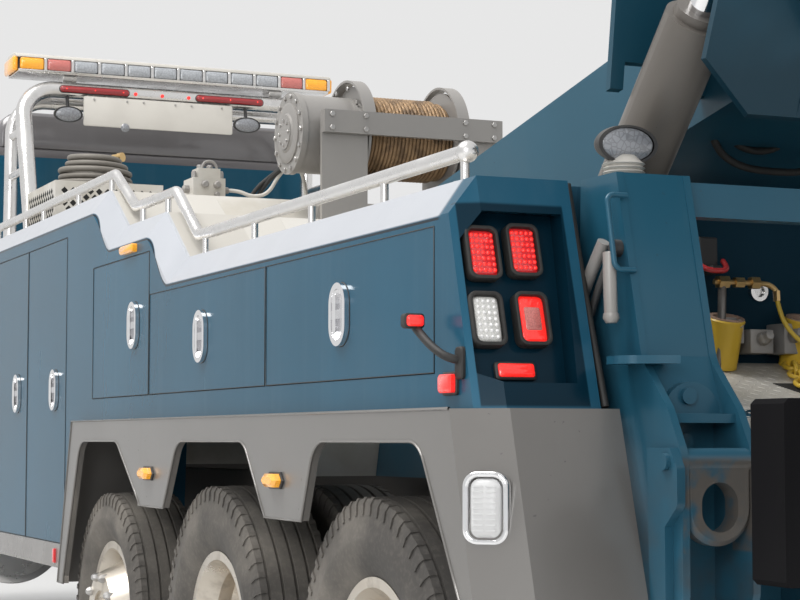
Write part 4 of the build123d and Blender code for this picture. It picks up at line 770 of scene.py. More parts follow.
class Flow(Tree):
    """Geometry Nodes tree with named number inputs."""

    def __init__(self, name, **inputs):
        super().__init__(bpy.data.node_groups.new(name, "GeometryNodeTree"))
        socket = self.tree.interface.new_socket
        socket("Geometry", in_out="INPUT", socket_type="NodeSocketGeometry")
        self.sockets = {}
        for key, value in inputs.items():
            kind = "NodeSocketInt" if isinstance(value, int) else "NodeSocketFloat"
            self.sockets[key] = socket(key, in_out="INPUT", socket_type=kind)
            self.sockets[key].default_value = value
        self.sockets["Finish"] = socket("Finish", in_out="INPUT", socket_type="NodeSocketMaterial")
        socket("Geometry", in_out="OUTPUT", socket_type="NodeSocketGeometry")
        start = self.tree.nodes.new("NodeGroupInput")
        self.given = {out.name: Term(self, out) for out in start.outputs if out.name}
        self.end = self.tree.nodes.new("NodeGroupOutput")

    def close(self, geometry):
        """Realize the copies, give them their finish and end the tree."""
        real = self.add("GeometryNodeRealizeInstances", {}, {"Geometry": geometry})
        done = self.add("GeometryNodeSetMaterial", {}, {"Geometry": real, "Material": self.given["Finish"]})
        self.feed(self.end.inputs["Geometry"], done)

    def copies_on(self, points, turn):
        """Close the tree with copies of its geometry on points, turned about Z."""
        values = {"Points": points, "Instance": self.given["Geometry"],
                  "Rotation": self.add("ShaderNodeCombineXYZ", {}, {"Z": turn})}
        self.close(self.add("GeometryNodeInstanceOnPoints", {}, values))

    def wire(self, curve, sides, radius):
        """Close the tree with a round section swept along a curve."""
        section = self.add("GeometryNodeCurvePrimitiveCircle", {}, {"Resolution": sides, "Radius": radius})
        self.close(self.add("GeometryNodeCurveToMesh", {}, {"Curve": curve, "Profile Curve": section}))

    def run(self, stamp, finish, **values):
        """Result of the tree on a small mesh, as a plain mesh."""
        holder = linked("stamp", stamp)
        modifier = holder.modifiers.new("repeat", "NODES")
        modifier.node_group = self.tree
        modifier[self.sockets["Finish"].identifier] = finish
        for key, value in values.items():
            modifier[self.sockets[key].identifier] = value
        mesh = evaluated(holder)
        bpy.data.objects.remove(holder)
        return mesh


ring_flow = Flow("ring_of_copies", Count=8, Radius=0.1)
given = ring_flow.given
circle = ring_flow.add("GeometryNodeMeshCircle", {}, {"Vertices": given["Count"], "Radius": given["Radius"]})
ring_flow.copies_on(circle, 2.0 * math.pi / given["Count"] * ring_flow.add("GeometryNodeInputIndex"))

grid_flow = Flow("grid_of_copies", Columns=4, Rows=6, Pitch_X=0.01, Pitch_Y=0.01, Turn=0.0, Shift=0.0)
given = grid_flow.given
sheet_of_points = grid_flow.add("GeometryNodeMeshGrid", {}, {
    "Size X": (given["Columns"] - 1.0) * given["Pitch_X"], "Size Y": (given["Rows"] - 1.0) * given["Pitch_Y"],
    "Vertices X": given["Columns"], "Vertices Y": given["Rows"]})
number = grid_flow.add("GeometryNodeInputIndex")
column = ((number + 0.5) / given["Rows"]).floor()
row = number - column * given["Rows"]
slide = grid_flow.add("ShaderNodeCombineXYZ", {}, {"X": row % 2.0 * given["Shift"]})
grid_points = grid_flow.add("GeometryNodeSetPosition", {}, {"Geometry": sheet_of_points, "Offset": slide})
grid_flow.copies_on(grid_points, (column + row) % 2.0 * given["Turn"])


def ring_of(stamp, finish, count, radius, place):
    """Copies of a small mesh in a ring, put in place."""
    return moved(ring_flow.run(stamp, finish, Count=count, Radius=radius), place)


def grid_of(stamp, finish, place, columns, rows, pitch_x, pitch_y=0.01, **more):
    """Copies of a small mesh on a grid, put in place."""
    return moved(grid_flow.run(stamp, finish, Columns=columns, Rows=rows, Pitch_X=pitch_x, Pitch_Y=pitch_y,
                               **more), place)


diode = lathe([(0, 0.0055), (0.003, 0.0045), (0.0045, 0)], steps=8)
hex_head = lathe([(0, 0), (0, 1), (0.55, 1), (0.7, 0.8), (0.7, 0)], steps=6)
print("repeating trees ready")

# %% [markdown]
# The tail lamps sit in black rubber grommets on the recess's sloping floor. Two of them are lit arrays of
# diodes, one is a clear reversing lamp and one a red lamp with a pale square. Each gets its grommet, a domed
# lens and, where it is lit, its own grid of diodes.

# %% Tail lamps
SLOPE = Vector((0, 0.9615, 0.275))
UP_SLOPE = Vector((0, -0.275, 0.9615))
LAMP_SINKS = 0.015
DIODE_ROWS = 7
DIODE_ROW_PITCH = 0.0155


def on_slope(x, behind, z, sinks=LAMP_SINKS):
    """Place on the recess's sloping floor."""
    return facing(at(x, behind, z) - SLOPE * sinks, SLOPE, UP_SLOPE)


seats = {}
for name, x, behind, z, look in (("brake_outer", 1.176, 0.6054, 1.6662, red_lens),
                                 ("brake_inner", 1.062, 0.6025, 1.6762, red_lens),
                                 ("reverse", 1.187, 0.6534, 1.4982, clear_lens),
                                 ("turn_red", 1.062, 0.6525, 1.5012, red_led)):
    seat = seats[name] = on_slope(x, behind, z)
    grommet = frame_ring((0.092, 0.142, 0.022, 5), (0.074, 0.122, 0.016, 5), 0.034, seat)
    both("tail_grommet_" + name, grommet, seal_rubber, bevel=0.003, smooth=40)
    both("tail_lens_" + name, plate((0.075, 0.123, 0.017, 5), 0.027, seat, 0.008), look, smooth=50)
for name, lamp_name, look, columns, pitch, lift in (
        ("tail_diodes_brake_outer", "brake_outer", red_led, 5, 0.0135, 0.026),
        ("tail_diodes_brake_inner", "brake_inner", red_led, 5, 0.0135, 0.026),
        ("reverse_prisms", "reverse", white_lens, 4, 0.015, 0.0255)):
    place = seats[lamp_name] @ shift(0, 0, lift)
    both(name, grid_of(diode, look, place, columns, DIODE_ROWS, pitch, DIODE_ROW_PITCH), look, smooth=60)
both("turn_pale_square", plate((0.046, 0.062, 0.006, 3), 0.0295, seats["turn_red"]), pink_lens, smooth=50)
low = on_slope(1.12, 0.674, 1.371, sinks=0.0)
both("low_marker_base", plate((0.112, 0.046, 0.008, 3), 0.012, low), trim_black, smooth=40)
both("low_marker_lens", plate((0.098, 0.034, 0.006, 3), 0.02, low, 0.005), red_led, smooth=40)
print("tail lamps:", len(seats), "and a low marker on each side")

# %% [markdown]
# Small lamps on the body: a marker on a bent rubber arm that stands clear of the side, a red corner marker,
# amber diamonds on the fender, and a white strobe with a chrome bezel on the fender's rear corner. They are
# moulded parts, so a chamfered lens on a base says enough.

# %% Side lamps
arm = pipe([at(1.258, 0.64, 1.4), at(1.285, 0.635, 1.405), at(1.3, 0.585, 1.432), at(1.303, 0.53, 1.462),
            at(1.306, 0.494, 1.486)], 0.011)
both("marker_arm", arm, seal_rubber, smooth=60)
head = facing(at(1.314, 0.497, 1.502), BACK)
corner = on_side(0.59, 1.343)
bevel_face = (1, 1, 0)
strobe = facing(at(1.2498, 0.7925, 1.043) - Vector(bevel_face).normalized() * 0.002, bevel_face)
diamond = [(0.06, 0), (0.038, 0.025), (-0.06, 0.025), (-0.075, 0), (-0.06, -0.025), (0.038, -0.025)]
small_diamond = [(u * 0.84, v * 0.8) for u, v in diamond]
spots = [on_side(-ahead, 1.084, FENDER_FACE) for ahead in (1.89, 0.535)]
for name, outline, thick, place, inset, lift, look, smooth in (
        ("marker_arm_foot", (0.044, 0.08, 0.01, 4), 0.01, on_side(0.648, 1.392), 0.003, 0, seal_rubber,
         None),
        ("marker_head", (0.056, 0.038, 0.01, 4), 0.026, head, 0.004, -0.013, seal_rubber, 40),
        ("marker_red", (0.046, 0.028, 0.008, 4), 0.009, head, 0.004, 0.011, red_led, 40),
        ("corner_marker_base", (0.086, 0.058, 0.008, 3), 0.008, corner, 0.002, 0, trim_black, None),
        ("corner_marker", (0.074, 0.046, 0.006, 3), 0.024, corner, 0.005, 0, red_led, 40),
        ("amber_base_0", diamond, 0.008, spots[0], 0.002, 0, trim_black, None),
        ("amber_marker_0", small_diamond, 0.034, spots[0], 0.01, 0, amber_lens, 40),
        ("amber_base_1", diamond, 0.008, spots[1], 0.002, 0, trim_black, None),
        ("amber_marker_1", small_diamond, 0.034, spots[1], 0.01, 0, amber_lens, 40),
        ("amber_upper", (0.18, 0.032, 0.008, 3), 0.024, on_side(-2.35, 1.937), 0.006, 0, amber_lens, 40),
        ("strobe_lens", (0.076, 0.14, 0.024, 8), 0.03, strobe, 0.01, 0, strobe_white, 50),
        # The reflector wears the red lens, whose small glow here is a painted glint, as a reflector is no
        # lamp.
        ("skirt_reflector", (0.03, 0.062, 0.004, 3), 0.01, on_side(-3.52, 0.702), 0.003, 0, red_lens, 40)):
    both(name, plate(outline, thick, place, inset, lift), look, smooth=smooth)
bezel = frame_ring((0.116, 0.174, 0.036, 8), (0.086, 0.146, 0.026, 8), 0.026, strobe)
both("strobe_bezel", bezel, chrome, bevel=0.006, smooth=50)
rib = slab(soft_box(0.027, 0.004, 0.0018, 2), 0, 0.003, "z")
both("strobe_ribs", grid_of(rib, strobe_white, strobe @ shift(0, 0, 0.029), 2, 9, 0.032, 0.013), strobe_white)
print("side lamps done")

# %% [markdown]
# The light bar is a row of modules under one long cover: amber at the ends, red inside them and clear in the
# middle. A rounded section is drawn once and stretched for every module, front and rear alike. Below it, on
# the arch, are two long red strips, three small red lamps, two oval work lamps and a blank board.

# %% Light bar and arch lamps
BAR_FRONT, BAR_BACK = REAR - 6.118, REAR - 5.842
BAR_HALF = 0.93
LENS_Z = 3.312
ARCH_FACE = -5.858
PANE = [(0, 0), (0, 0.88), (0.1, 0.82), (0.2, 0)]


def bar_part(name, rows, low, high, look, **more):
    """Long part of the light bar, from (inset, height) pairs up its rear side."""
    rear = [(BAR_BACK - inset, z) for inset, z in rows]
    front = [(BAR_FRONT + inset, z) for inset, z in rows]
    part = slab([front[0], *rear, *reversed(front[1:])], low, high)
    return settle("light_bar_" + name, part, look, **more)


def oval_lamp(name, side, spot, size, shell, steps):
    """Oval lamp: a shell with a low domed pane, from its half sizes, its depths and where the pane sits."""
    width, height, depth, sits, pane_depth = size
    housing = lathe(shell, spot @ scaled(width, height, depth), steps)
    settle(name + "_shell_" + side, housing, trim_black, smooth=60)
    pane = lathe(PANE, spot @ shift(0, 0, sits) @ scaled(width, height, pane_depth), steps)
    settle(name + "_lens_" + side, pane, lamp_glass, smooth=60)


bar_base = bar_part("base", ((0.012, 3.262), (0.004, 3.278)), -BAR_HALF, BAR_HALF, polished, bevel=0.003,
                    smooth=35)
bar_part("lid", ((0.006, 3.346), (0.014, 3.364), (0.07, 3.377)), -0.945, 0.945, pale_board, bevel=0.004,
         smooth=35)
bar_part("core", ((0.03, 3.27), (0.03, 3.352)), -BAR_HALF, BAR_HALF, trim_black)
shades = ["amber", "pink", *["clear"] * 8, "pink", "amber"]
bar_lenses = {"amber": amber_lens, "pink": pink_lens, "clear": bar_clear}
modules = {key: [] for key in bar_lenses}
dividers = []
pitch = 2.0 * BAR_HALF / len(shades)
for k, shade in enumerate(shades):
    x = BAR_HALF - pitch * (k + 0.5)
    for normal, y in ((BACK, BAR_BACK - 0.03), (AHEAD, BAR_FRONT + 0.03)):
        spot = facing(Vector((x, y, LENS_Z)), normal)
        modules[shade].append(plate((pitch - 0.024, 0.062, 0.01, 3), 0.026, spot, 0.006))
        spot = facing(Vector((x - pitch / 2.0, y, LENS_Z)), normal)
        dividers.append(plate((0.018, 0.068, 0.004, 2), 0.027, spot, 0.004))
for shade, group in modules.items():
    settle("light_bar_" + shade, joined(group), bar_lenses[shade], smooth=40)
settle("light_bar_dividers", joined(dividers), polished)
foot = [(BAR_BACK - inset, z) for inset, z in ((0.17, 3.203), (0.1, 3.203), (0.07, 3.264), (0.2, 3.264))]
for side, sign in SIDES:
    inner, outer = sorted((sign * BAR_HALF, sign * 0.958))
    bar_part("end_" + side, ((0.02, 3.268), (0.016, 3.352)), inner, outer, amber_lens, bevel=0.012, smooth=60)
    settle("light_bar_foot_" + side, slab(foot, *sorted((sign * 0.58, sign * 0.66))), polished, bevel=0.004)
for name, x0, x1 in (("outer", 0.287, 0.697), ("inner", -0.522, -0.104)):
    spot = facing(at((x0 + x1) / 2.0, ARCH_FACE, 3.18), BACK)
    length = x1 - x0
    settle("stop_strip_base_" + name, plate(oval(length, 0.044), 0.01, spot, 0.002), trim_black, smooth=50)
    strip = plate(oval(length - 0.008, 0.036), 0.02, spot, 0.008)
    settle("stop_strip_" + name, strip, dark_red_lens, smooth=60)
    lit = grid_of(diode, red_led, spot @ shift(0, 0, 0.018), 3, 1, length * 0.4)
    settle("stop_strip_lit_" + name, lit, red_led, smooth=60)
small_lamp = lathe([(0, 0.011), (0.01, 0.01), (0.014, 0)], steps=16)
three = grid_of(small_lamp, red_led, facing(at(0.095, ARCH_FACE, 3.178), BACK), 3, 1, 0.158)
settle("arch_lamps", three, red_led, smooth=60)
arch_shell = [(0, 0), (0, 0.55), (0.3, 0.9), (0.62, 1), (0.85, 0.98), (0.85, 0.88)]
for side, x, z in (("left", 0.645, 3.045), ("right", -0.415, 3.05)):
    spot = facing(at(x, -5.885, z), (0, 1, -0.22))
    oval_lamp("work_lamp", side, spot, (0.084, 0.046, 0.06, 0.047, 0.05), arch_shell, 40)
    stem = ((x, -5.862, z + 0.03), (x, -5.87, z + 0.06), (x, -5.878, 3.15))
    tube("work_lamp_stem_" + side, stem, 0.01, trim_black)
board = facing(at(0.115, -5.848, 3.062), BACK)
settle("blank_board", plate((0.885, 0.17, 0.012, 4), 0.006, board, 0.002), pale_board, smooth=40)
bolt_head = [(0, 0), (0, 0.006), (0.004, 0.005), (0.005, 0)]
settle("board_bolts", joined([lathe(bolt_head, board @ shift(x, 0.068, 0.006), 10)
                              for x in (-0.382, -0.19, -0.093, 0.095, 0.193, 0.376)]), zinc, smooth=50)
dome = [(0, 0), (0, 0.022), (0.014, 0.026), (0.022, 0.02), (0.026, 0)]
settle("board_lamp", lathe(dome, board @ shift(-0.2, -0.082, -0.01), 24), lamp_glass, smooth=50)
print("light bar of", len(shades), "modules each way")

# %% [markdown]
# A work lamp stands on each column: an oval lens in a cast housing on a ribbed rubber base. The ribs are one
# turned profile, which is why a lathe is enough.

# %% Column lamps
column_shell = [(0, 0), (0, 0.5), (0.25, 0.85), (0.6, 0.99), (0.92, 1), (0.92, 0.88)]
folds = [(0, 0), (0, 0.054)]
for k in range(4):
    folds += [(0.004 + k * 0.011, 0.056), (0.01 + k * 0.011, 0.047)]
folds += [(0.05, 0.04), (0.06, 0.03), (0.06, 0)]
for side, sign in SIDES:
    top = Matrix.Translation(at(sign * 0.771, 0.612, 1.8755))
    settle("column_lamp_base_" + side, lathe(folds, top, 32), pale_board, smooth=50)
    spot = facing(at(sign * 0.771, 0.57, 1.968), (0, 1, -0.1))
    oval_lamp("column_lamp", side, spot, (0.087, 0.05, 0.075, 0.062, 0.06), column_shell, 48)
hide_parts("lamps")
print("column lamps done")

# %% [markdown]
# Tyres are the darkest and most worked surface low in the picture. A section with shoulders, five grooves and
# sidewall rings is turned about the axle, and blocks for the shoulders go round by the ring tree. The CAD
# tyre gives middle, width and radius, so the new one sits exactly where the old one was.

# %% Tyres
BEAD = 0.292
TWIN_WIDTH = 0.28
SHOULDER_BLOCKS = 62


def tyre_section(radius, half):
    """Closed section of a tyre: one sidewall, the grooved tread, the other sidewall and the inside."""
    waist = (BEAD + radius) / 2.0
    side = [(-half * part, r) for part, r in (
        (0.6, BEAD), (0.72, BEAD + 0.012), (0.86, BEAD + 0.04), (0.97, BEAD + 0.085), (1, waist - 0.005),
        (1, waist + 0.006), (0.985, waist + 0.01), (0.955, radius - 0.062), (0.93, radius - 0.056),
        (0.905, radius - 0.018), (0.86, radius - 0.006))]
    tread = []
    for part in (-0.66, -0.33, 0, 0.33, 0.66):
        crown = radius - (0.0 if abs(part) < 0.5 else 0.0025)
        tread += [(half * part + u, r) for u, r in ((-0.0055, crown), (-0.0042, radius - 0.01),
                                                    (0.0042, radius - 0.01), (0.0055, crown))]
    inside = [(half * part, BEAD + rise) for part, rise in ((0.52, 0), (0.5, 0.02), (-0.5, 0.02),
                                                            (-0.52, 0))]
    return side + tread + [(-h, r) for h, r in reversed(side)] + inside


def shoulder_block(radius, depth):
    """One block of the shoulder's pattern, at the tyre's top."""
    points = []
    for reach, wide, part in ((radius - 0.05, 0.0075, 0.955), (radius - 0.02, 0.0085, 0.945),
                              (radius - 0.0015, 0.0085, 0.87), (radius - 0.0015, 0.0085, 0.7),
                              (radius - 0.05, 0.0075, 0.7)):
        points += [(reach, -wide, depth * part), (reach, wide, depth * part)]
    quads = [(2 * k, 2 * k + 1, (2 * k + 3) % 10, (2 * k + 2) % 10) for k in range(5)]
    return faces(points, [*quads, (0, 2, 4, 6, 8), (1, 3, 5, 7, 9)])


def tyre(middle, radius, width):
    """Meshes of one tyre with its shoulder blocks, its axle along X."""
    place, half = stand(middle, LEFT), width / 2.0
    return [lathe(tyre_section(radius, half), place, 96, closed=True)] + [
        ring_of(shoulder_block(radius, depth), tyre_rubber, SHOULDER_BLOCKS, 0.0001, place)
        for depth in (-half, half)]


def wheel_of(node):
    """Body that a tyre or rim turns with."""
    return "wheel_%s_%s" % tuple(node.split("_")[1:3])


for node in [n for n in nodes if n.startswith("tyre")]:
    lo, hi = box_of(node)
    centre, radius = (lo + hi) / 2.0, (hi.z - lo.z) / 2.0
    width, middles = hi.x - lo.x, [centre.x]
    if node.startswith("tyres"):
        width, middles = TWIN_WIDTH, [lo.x + TWIN_WIDTH / 2.0, hi.x - TWIN_WIDTH / 2.0]
    meshes = [m for x in middles for m in tyre(Vector((x, centre.y, centre.z)), radius, width)]
    treaded = settle(node + "_treaded", joined(meshes), tyre_rubber, body=wheel_of(node), smooth=32)
    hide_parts(node)
print("tyres treaded")

# %% [markdown]
# The winch is the most detailed machine on the deck. Its housing keeps its CAD shape, and the ring tree sets
# the flange's bolts. The rope is a real winding: a Geometry Nodes spiral with one turn beside the next, swept
# with a round section, in two layers.

# %% Winch bolts and rope
ROPE_PITCH = 0.0175
ROPE_LAYERS = ((0.16, 22.0, 0.0), (0.1695, 17.0, 0.04))


def on_winch(x, direction=1):
    """Place on the winch's axle, facing out along it."""
    return stand(at(x, -2.72, 2.49), (direction, 0, 0))


def screw(radius, height):
    """Six-sided bolt head."""
    return moved(hex_head.copy(), scaled(radius, radius, height))


for name, head, count, radius, place in (
        ("flange_bolts", screw(0.0105, 0.013), 14, 0.155, on_winch(0.47)),
        ("hub_bolts", screw(0.007, 0.009), 8, 0.052, on_winch(0.49)),
        ("cheek_bolts_left", screw(0.0105, 0.013), 10, 0.205, on_winch(0.223)),
        ("cheek_bolts_right", screw(0.0105, 0.013), 10, 0.205, on_winch(-0.267, -1))):
    settle("winch_" + name, ring_of(head, zinc, count, radius, place), zinc)
cover = [(0, 0), (0, 0.128), (0.006, 0.128), (0.01, 0.118), (0.01, 0.084), (0.016, 0.076), (0.016, 0)]
settle("winch_cover", lathe(cover, on_winch(0.47)), machine_grey, smooth=30)
beam_face = facing(at(0, -2.47, 2.514), BACK)
beam_bolts = [moved(screw(0.012, 0.012), beam_face @ shift(x, y, 0))
              for x in (-0.37, -0.22, 0.235, 0.37) for y in (-0.028, 0.028)]
settle("winch_beam_bolts", joined(beam_bolts), zinc)

rope_flow = Flow("rope_winding", Turns=20.0, Radius=0.1, Length=0.3, Thickness=0.016)
given = rope_flow.given
spiral = rope_flow.add("GeometryNodeCurveSpiral", {}, {
    "Resolution": 40, "Rotations": given["Turns"], "Start Radius": given["Radius"],
    "End Radius": given["Radius"], "Height": given["Length"]})
rope_flow.wire(spiral, 8, given["Thickness"] * 0.5)


def rope_finish():
    """Golden steel-cored rope: bright strands, dark grease between them."""
    g = Graph("winch_rope")
    strands = g.add("ShaderNodeTexWave", {"bands_direction": "DIAGONAL"},
                    {"Vector": g.place, "Scale": 90.0, "Distortion": 1.5, "Detail": 1.0})
    grease = g.noise(14, 4).step(0.45, 0.7)
    shade = g.mix(grease * 0.75, (0.36, 0.23, 0.12), (0.07, 0.04, 0.02))
    shade = g.mix((1.0 - strands) * 0.5, shade, (0.04, 0.025, 0.015))
    g.bump(strands, 0.5)
    return g.finish(Base_Color=shade, Roughness=0.55, Metallic=0.25)


rope_look = rope_finish()
layers = [moved(rope_flow.run(hex_head, rope_look, Turns=turns, Radius=radius, Thickness=0.0165,
                              Length=(turns - 0.5) * ROPE_PITCH), on_winch(-0.212 + start))
          for radius, turns, start in ROPE_LAYERS]
wound = settle("winch_rope_wound", joined(layers), rope_look, smooth=60)
drum = lathe([(0.002, 0), (0.002, 0.155), (0.396, 0.155), (0.396, 0)], on_winch(-0.22))
settle("winch_rope_under", drum, rope_look, smooth=60)
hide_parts("winch_rope")
print("rope of", round(sum(turns for _, turns, _ in ROPE_LAYERS)), "turns")

# %% [markdown]
# The perforated tray is a plate with rows of diamond holes. Cutting them would change the CAD mesh, so
# near-black diamonds lie flush on it as painted shade in the holes, set by the grid tree with every second row
# moved by half a pitch.

# %% Diamond holes of the tray
HOLE_PITCH = 0.043
hole = slab([(0.017, 0), (0, 0.017), (-0.017, 0), (0, -0.017)], 0, 0.0006, "z")
holes = []
for x, behind, normal, columns in ((0.8, -4.35, BACK, 11), (1.07, -4.65, LEFT, 12),
                                   (0.8, -4.95, AHEAD, 11), (0.53, -4.65, RIGHT, 12)):
    place = facing(at(x, behind, 2.352), normal) @ shift(-0.01, 0, 0)
    holes.append(grid_of(hole, dark, place, columns, 5, HOLE_PITCH, 0.03, Shift=HOLE_PITCH / 2.0))
settle("tray_holes", joined(holes), dark)
print("tray holes in", len(holes), "fields")

# %% [markdown]
# Chequered plate covers the deck and the sloping floor between the rear columns. Its bars are small raised
# lozenges, alternate ones turned by a right angle, so the grid tree turns every second one.

# %% Chequered bars
WEDGE_FALL = 0.3118
BAR_PITCH = 0.032
wedge_normal = Vector((0, WEDGE_FALL, 1)).normalized()


def on_wedge(x, behind):
    """Point of the sloping floor."""
    return at(x, behind, 1.4549 - WEDGE_FALL * behind)


bar = [(-0.013, 0), (0, -0.0035), (0.013, 0), (0, 0.0035)]
top_of_bar = [(-0.008, 0), (0, -0.0018), (0.008, 0), (0, 0.0018)]
lozenge = loft([[(u, v, 0) for u, v in bar], [(u, v, 0.0014) for u, v in top_of_bar]],
               Matrix.Rotation(math.radians(45), 4, "Z"))
for name, place, columns, rows in (
        ("wedge", facing(at(0, 0.505, 1.2975), wedge_normal, (0, -1, WEDGE_FALL)), 38, 26),
        ("deck", facing(at(0, -4.1, 2.235), UP, AHEAD), 44, 70)):
    field = grid_of(lozenge, plate_metal, place, columns, rows, BAR_PITCH, BAR_PITCH, Turn=math.pi / 2)
    settle(name + "_bars", field, plate_metal)
print("chequered bars set")

# %% [markdown]
# The cab carries a raised roof in grey above its petrol body, which shows behind the light arch. It is one
# smooth shell, so its front view is drawn once and swept along the roof, lower at the front.

# %% Raised roof
ROOF_RISE = 0.186
roof_grey = paint("roof_grey", ROOF_GREY, 0.25, 0.22, metal=0.1, coat=0.7, dust=(0.25, 0.25, 0.26))
cab_hi = box_of("cab_shell")[1]
CAB_TOP = cab_hi.z
sections = []
for ahead, rise, narrow in ((0, 0.16, 0.02), (0.02, 0.182, 0), (0.75, ROOF_RISE, 0), (1.1, 0.15, 0.02),
                            (1.36, 0.06, 0.06), (1.42, 0.004, 0.08)):
    w, top, r = 0.925 - narrow, CAB_TOP + rise, min(0.13, rise + 0.03)
    arc = [(w - r + r * math.cos(a), top - r + r * math.sin(a)) for a in around(32)[:9]]
    outline = [(w, -1), *arc, *[(-u, v) for u, v in reversed(arc)], (-w, -1)]
    sections.append([(u, cab_hi.y - 0.012 - ahead, max(v, CAB_TOP - 0.03)) for u, v in outline])
settle("raised_roof", loft(sections), roof_grey, bevel=0.012, smooth=40)
markers = [lathe([(0, 0), (0, 1), (0.5, 0.9), (0.9, 0.5), (1, 0)],
                 shift(x, cab_hi.y - 1.2, CAB_TOP + 0.1) @ scaled(0.032, 0.06, 0.03), 16)
           for x in (-0.6, -0.3, 0, 0.3, 0.6)]
settle("roof_markers", joined(markers), amber_lens, smooth=60)
print("roof raised to", round(CAB_TOP + ROOF_RISE, 3))

# %% [markdown]
# Between the rear columns is the working corner: two yellow sockets for tow forks, brass air fittings with a
# yellow hose, a red shut-off handle, grey valves and a yellow chain. The pieces are few and all differ, so
# each is turned, plated or piped on its own. They stand on the sloping floor before a petrol bulkhead that is
# painted near-black, as painted shade for the deep corner.

# %% Working corner
# The bulkhead is painted near-black petrol, as painted shade in the corner.
settle("bulkhead", cuboid(at(-0.4, 0.05, 1.4), at(0.4, 0.062, 1.9)), recess_shade_paint, bevel=0.003)
socket_wall = [(0, 0), (0, 0.052), (0.125, 0.052), (0.14, 0.056), (0.146, 0.052), (0.146, 0.04),
               (0.03, 0.036), (0.03, 0)]
worn_rim = [(0.141, 0.053), (0.148, 0.053), (0.148, 0.039), (0.07, 0.035), (0.07, 0.038), (0.141, 0.041)]
for name, x, behind in (("one", 0.186, 0.135), ("two", -0.092, 0.12)):
    place = stand(on_wedge(x, behind) + Vector((0, 0, 0.004)), wedge_normal)
    settle("tow_socket_" + name, lathe(socket_wall, place, 40), yellow_paint, smooth=35)
    settle("socket_rim_" + name, lathe(worn_rim, place, 40, closed=True), rusty, smooth=35)
fittings = [turned_solid(r, length, stand(at(x, 0.2, 1.657), RIGHT))
            for x, r, length in ((0.228, 0.019, 0.034), (0.172, 0.016, 0.03), (0.118, 0.019, 0.028))]
air_line = [at(x, 0.2, z) for x, z in ((0.24, 1.657), (0.1, 1.657), (0.045, 1.655), (0.028, 1.635))]
fittings.append(pipe(air_line, 0.008))
fittings.append(turned_solid(0.011, 0.03, stand(at(0.028, 0.2, 1.637), (0, 0.05, -1))))
settle("air_fittings", joined(fittings), brass, smooth=35)
tube("air_pipe", ((0.213, 0.2, 1.66), (0.213, 0.2, 1.6), (0.213, 0.19, 1.5), (0.213, 0.17, 1.405)), 0.012,
     cast_iron)
tube("yellow_air_hose", ((0.028, 0.2, 1.62), (0.02, 0.205, 1.57), (0, 0.22, 1.52), (-0.05, 0.24, 1.47),
                         (-0.11, 0.26, 1.46), (-0.16, 0.25, 1.5), (-0.18, 0.2, 1.6), (-0.17, 0.1, 1.68),
                         (-0.17, 0.062, 1.69)), 0.007, yellow_hose)
tube("red_handle", ((0.275, 0.16, 1.72), (0.272, 0.185, 1.7), (0.255, 0.2, 1.69), (0.22, 0.205, 1.688),
                    (0.2, 0.2, 1.692), (0.186, 0.185, 1.702), (0.184, 0.16, 1.722)), 0.008, red_paint)
handle_block = joined([cuboid(at(0.2, 0.062, 1.7), at(0.262, 0.16, 1.79)),
                       cuboid(at(0.215, 0.14, 1.68), at(0.247, 0.205, 1.704))])
settle("handle_block", handle_block, trim_black, bevel=0.005)
valve_knob = [(0, 0), (0, 0.02), (0.022, 0.02), (0.026, 0.014), (0.045, 0.014), (0.045, 0)]
valves = []
for x, z, w, h in ((0.165, 1.52, 0.085, 0.075), (0.062, 1.49, 0.08, 0.07), (-0.045, 1.5, 0.06, 0.09)):
    valves.append(cuboid(at(x - w / 2, 0.08, z - h / 2), at(x + w / 2, 0.175, z + h / 2)))
    valves.append(lathe(valve_knob, stand(at(x, 0.175, z + 0.005), (0, 1, 0.3)), 16))
settle("valves", joined(valves), machine_grey, bevel=0.004, smooth=35)
plug_line = [(0, 0), (0, 0.03), (0.018, 0.03), (0.018, 0.018), (0.006, 0.016), (0.006, 0)]
plug = lathe(plug_line, stand(at(0.005, 0.062, 1.645), BACK), 32)
settle("round_plug", plug, polished, smooth=40)
link_line = [Vector((math.cos(t) * 0.36, 0, math.sin(t) * 0.6)) * 0.062 for t in [*around(12), 2.0 * math.pi]]
stops = [on_wedge(-0.05 + 0.022 * k, 0.15 + 0.046 * k) + Vector((0, 0, 0.02)) for k in range(6)]
links = [moved(pipe(link_line, 0.007, 8, caps=False), stand((a + b) / 2.0, b - a, math.pi / 2 * (k % 2)))
         for k, (a, b) in enumerate(zip(stops, stops[1:]))]
settle("yellow_chain", joined(links), yellow_paint, smooth=60)
slot_line = [(0.32, -0.06), (-0.09, -0.06), (-0.13, 0.06), (0.32, 0.06)]
slot_place = facing(on_wedge(-0.02, 0.355), wedge_normal, (0, -1, WEDGE_FALL))
# The floor slot is a near-black sheet, painted shade in the opening.
settle("floor_slot", slab(slot_line, 0, 0.003, "z", slot_place), dark)
for name, behind, route in (
        ("one", 0.25, ((0.3, 2.3), (0.285, 2.17), (0.27, 2.04), (0.19, 1.985), (0.06, 1.975),
                       (-0.08, 1.985), (-0.16, 2.1))),
        ("two", 0.22, ((0.255, 2.3), (0.245, 2.19), (0.215, 2.08), (0.12, 2.03), (0, 2.06),
                       (-0.06, 2.16)))):
    tube("boom_hose_" + name, [(x, behind, z) for x, z in route], 0.011, seal_rubber, body="boom")
print("working corner done")

# %% [markdown]
# The valve block on the deck has screwed caps, a bent handle and a pale hose that loops to the winch. Two
# dark hoses leave the winch for the deck. The block itself is a CAD solid, and these fittings sit on it.

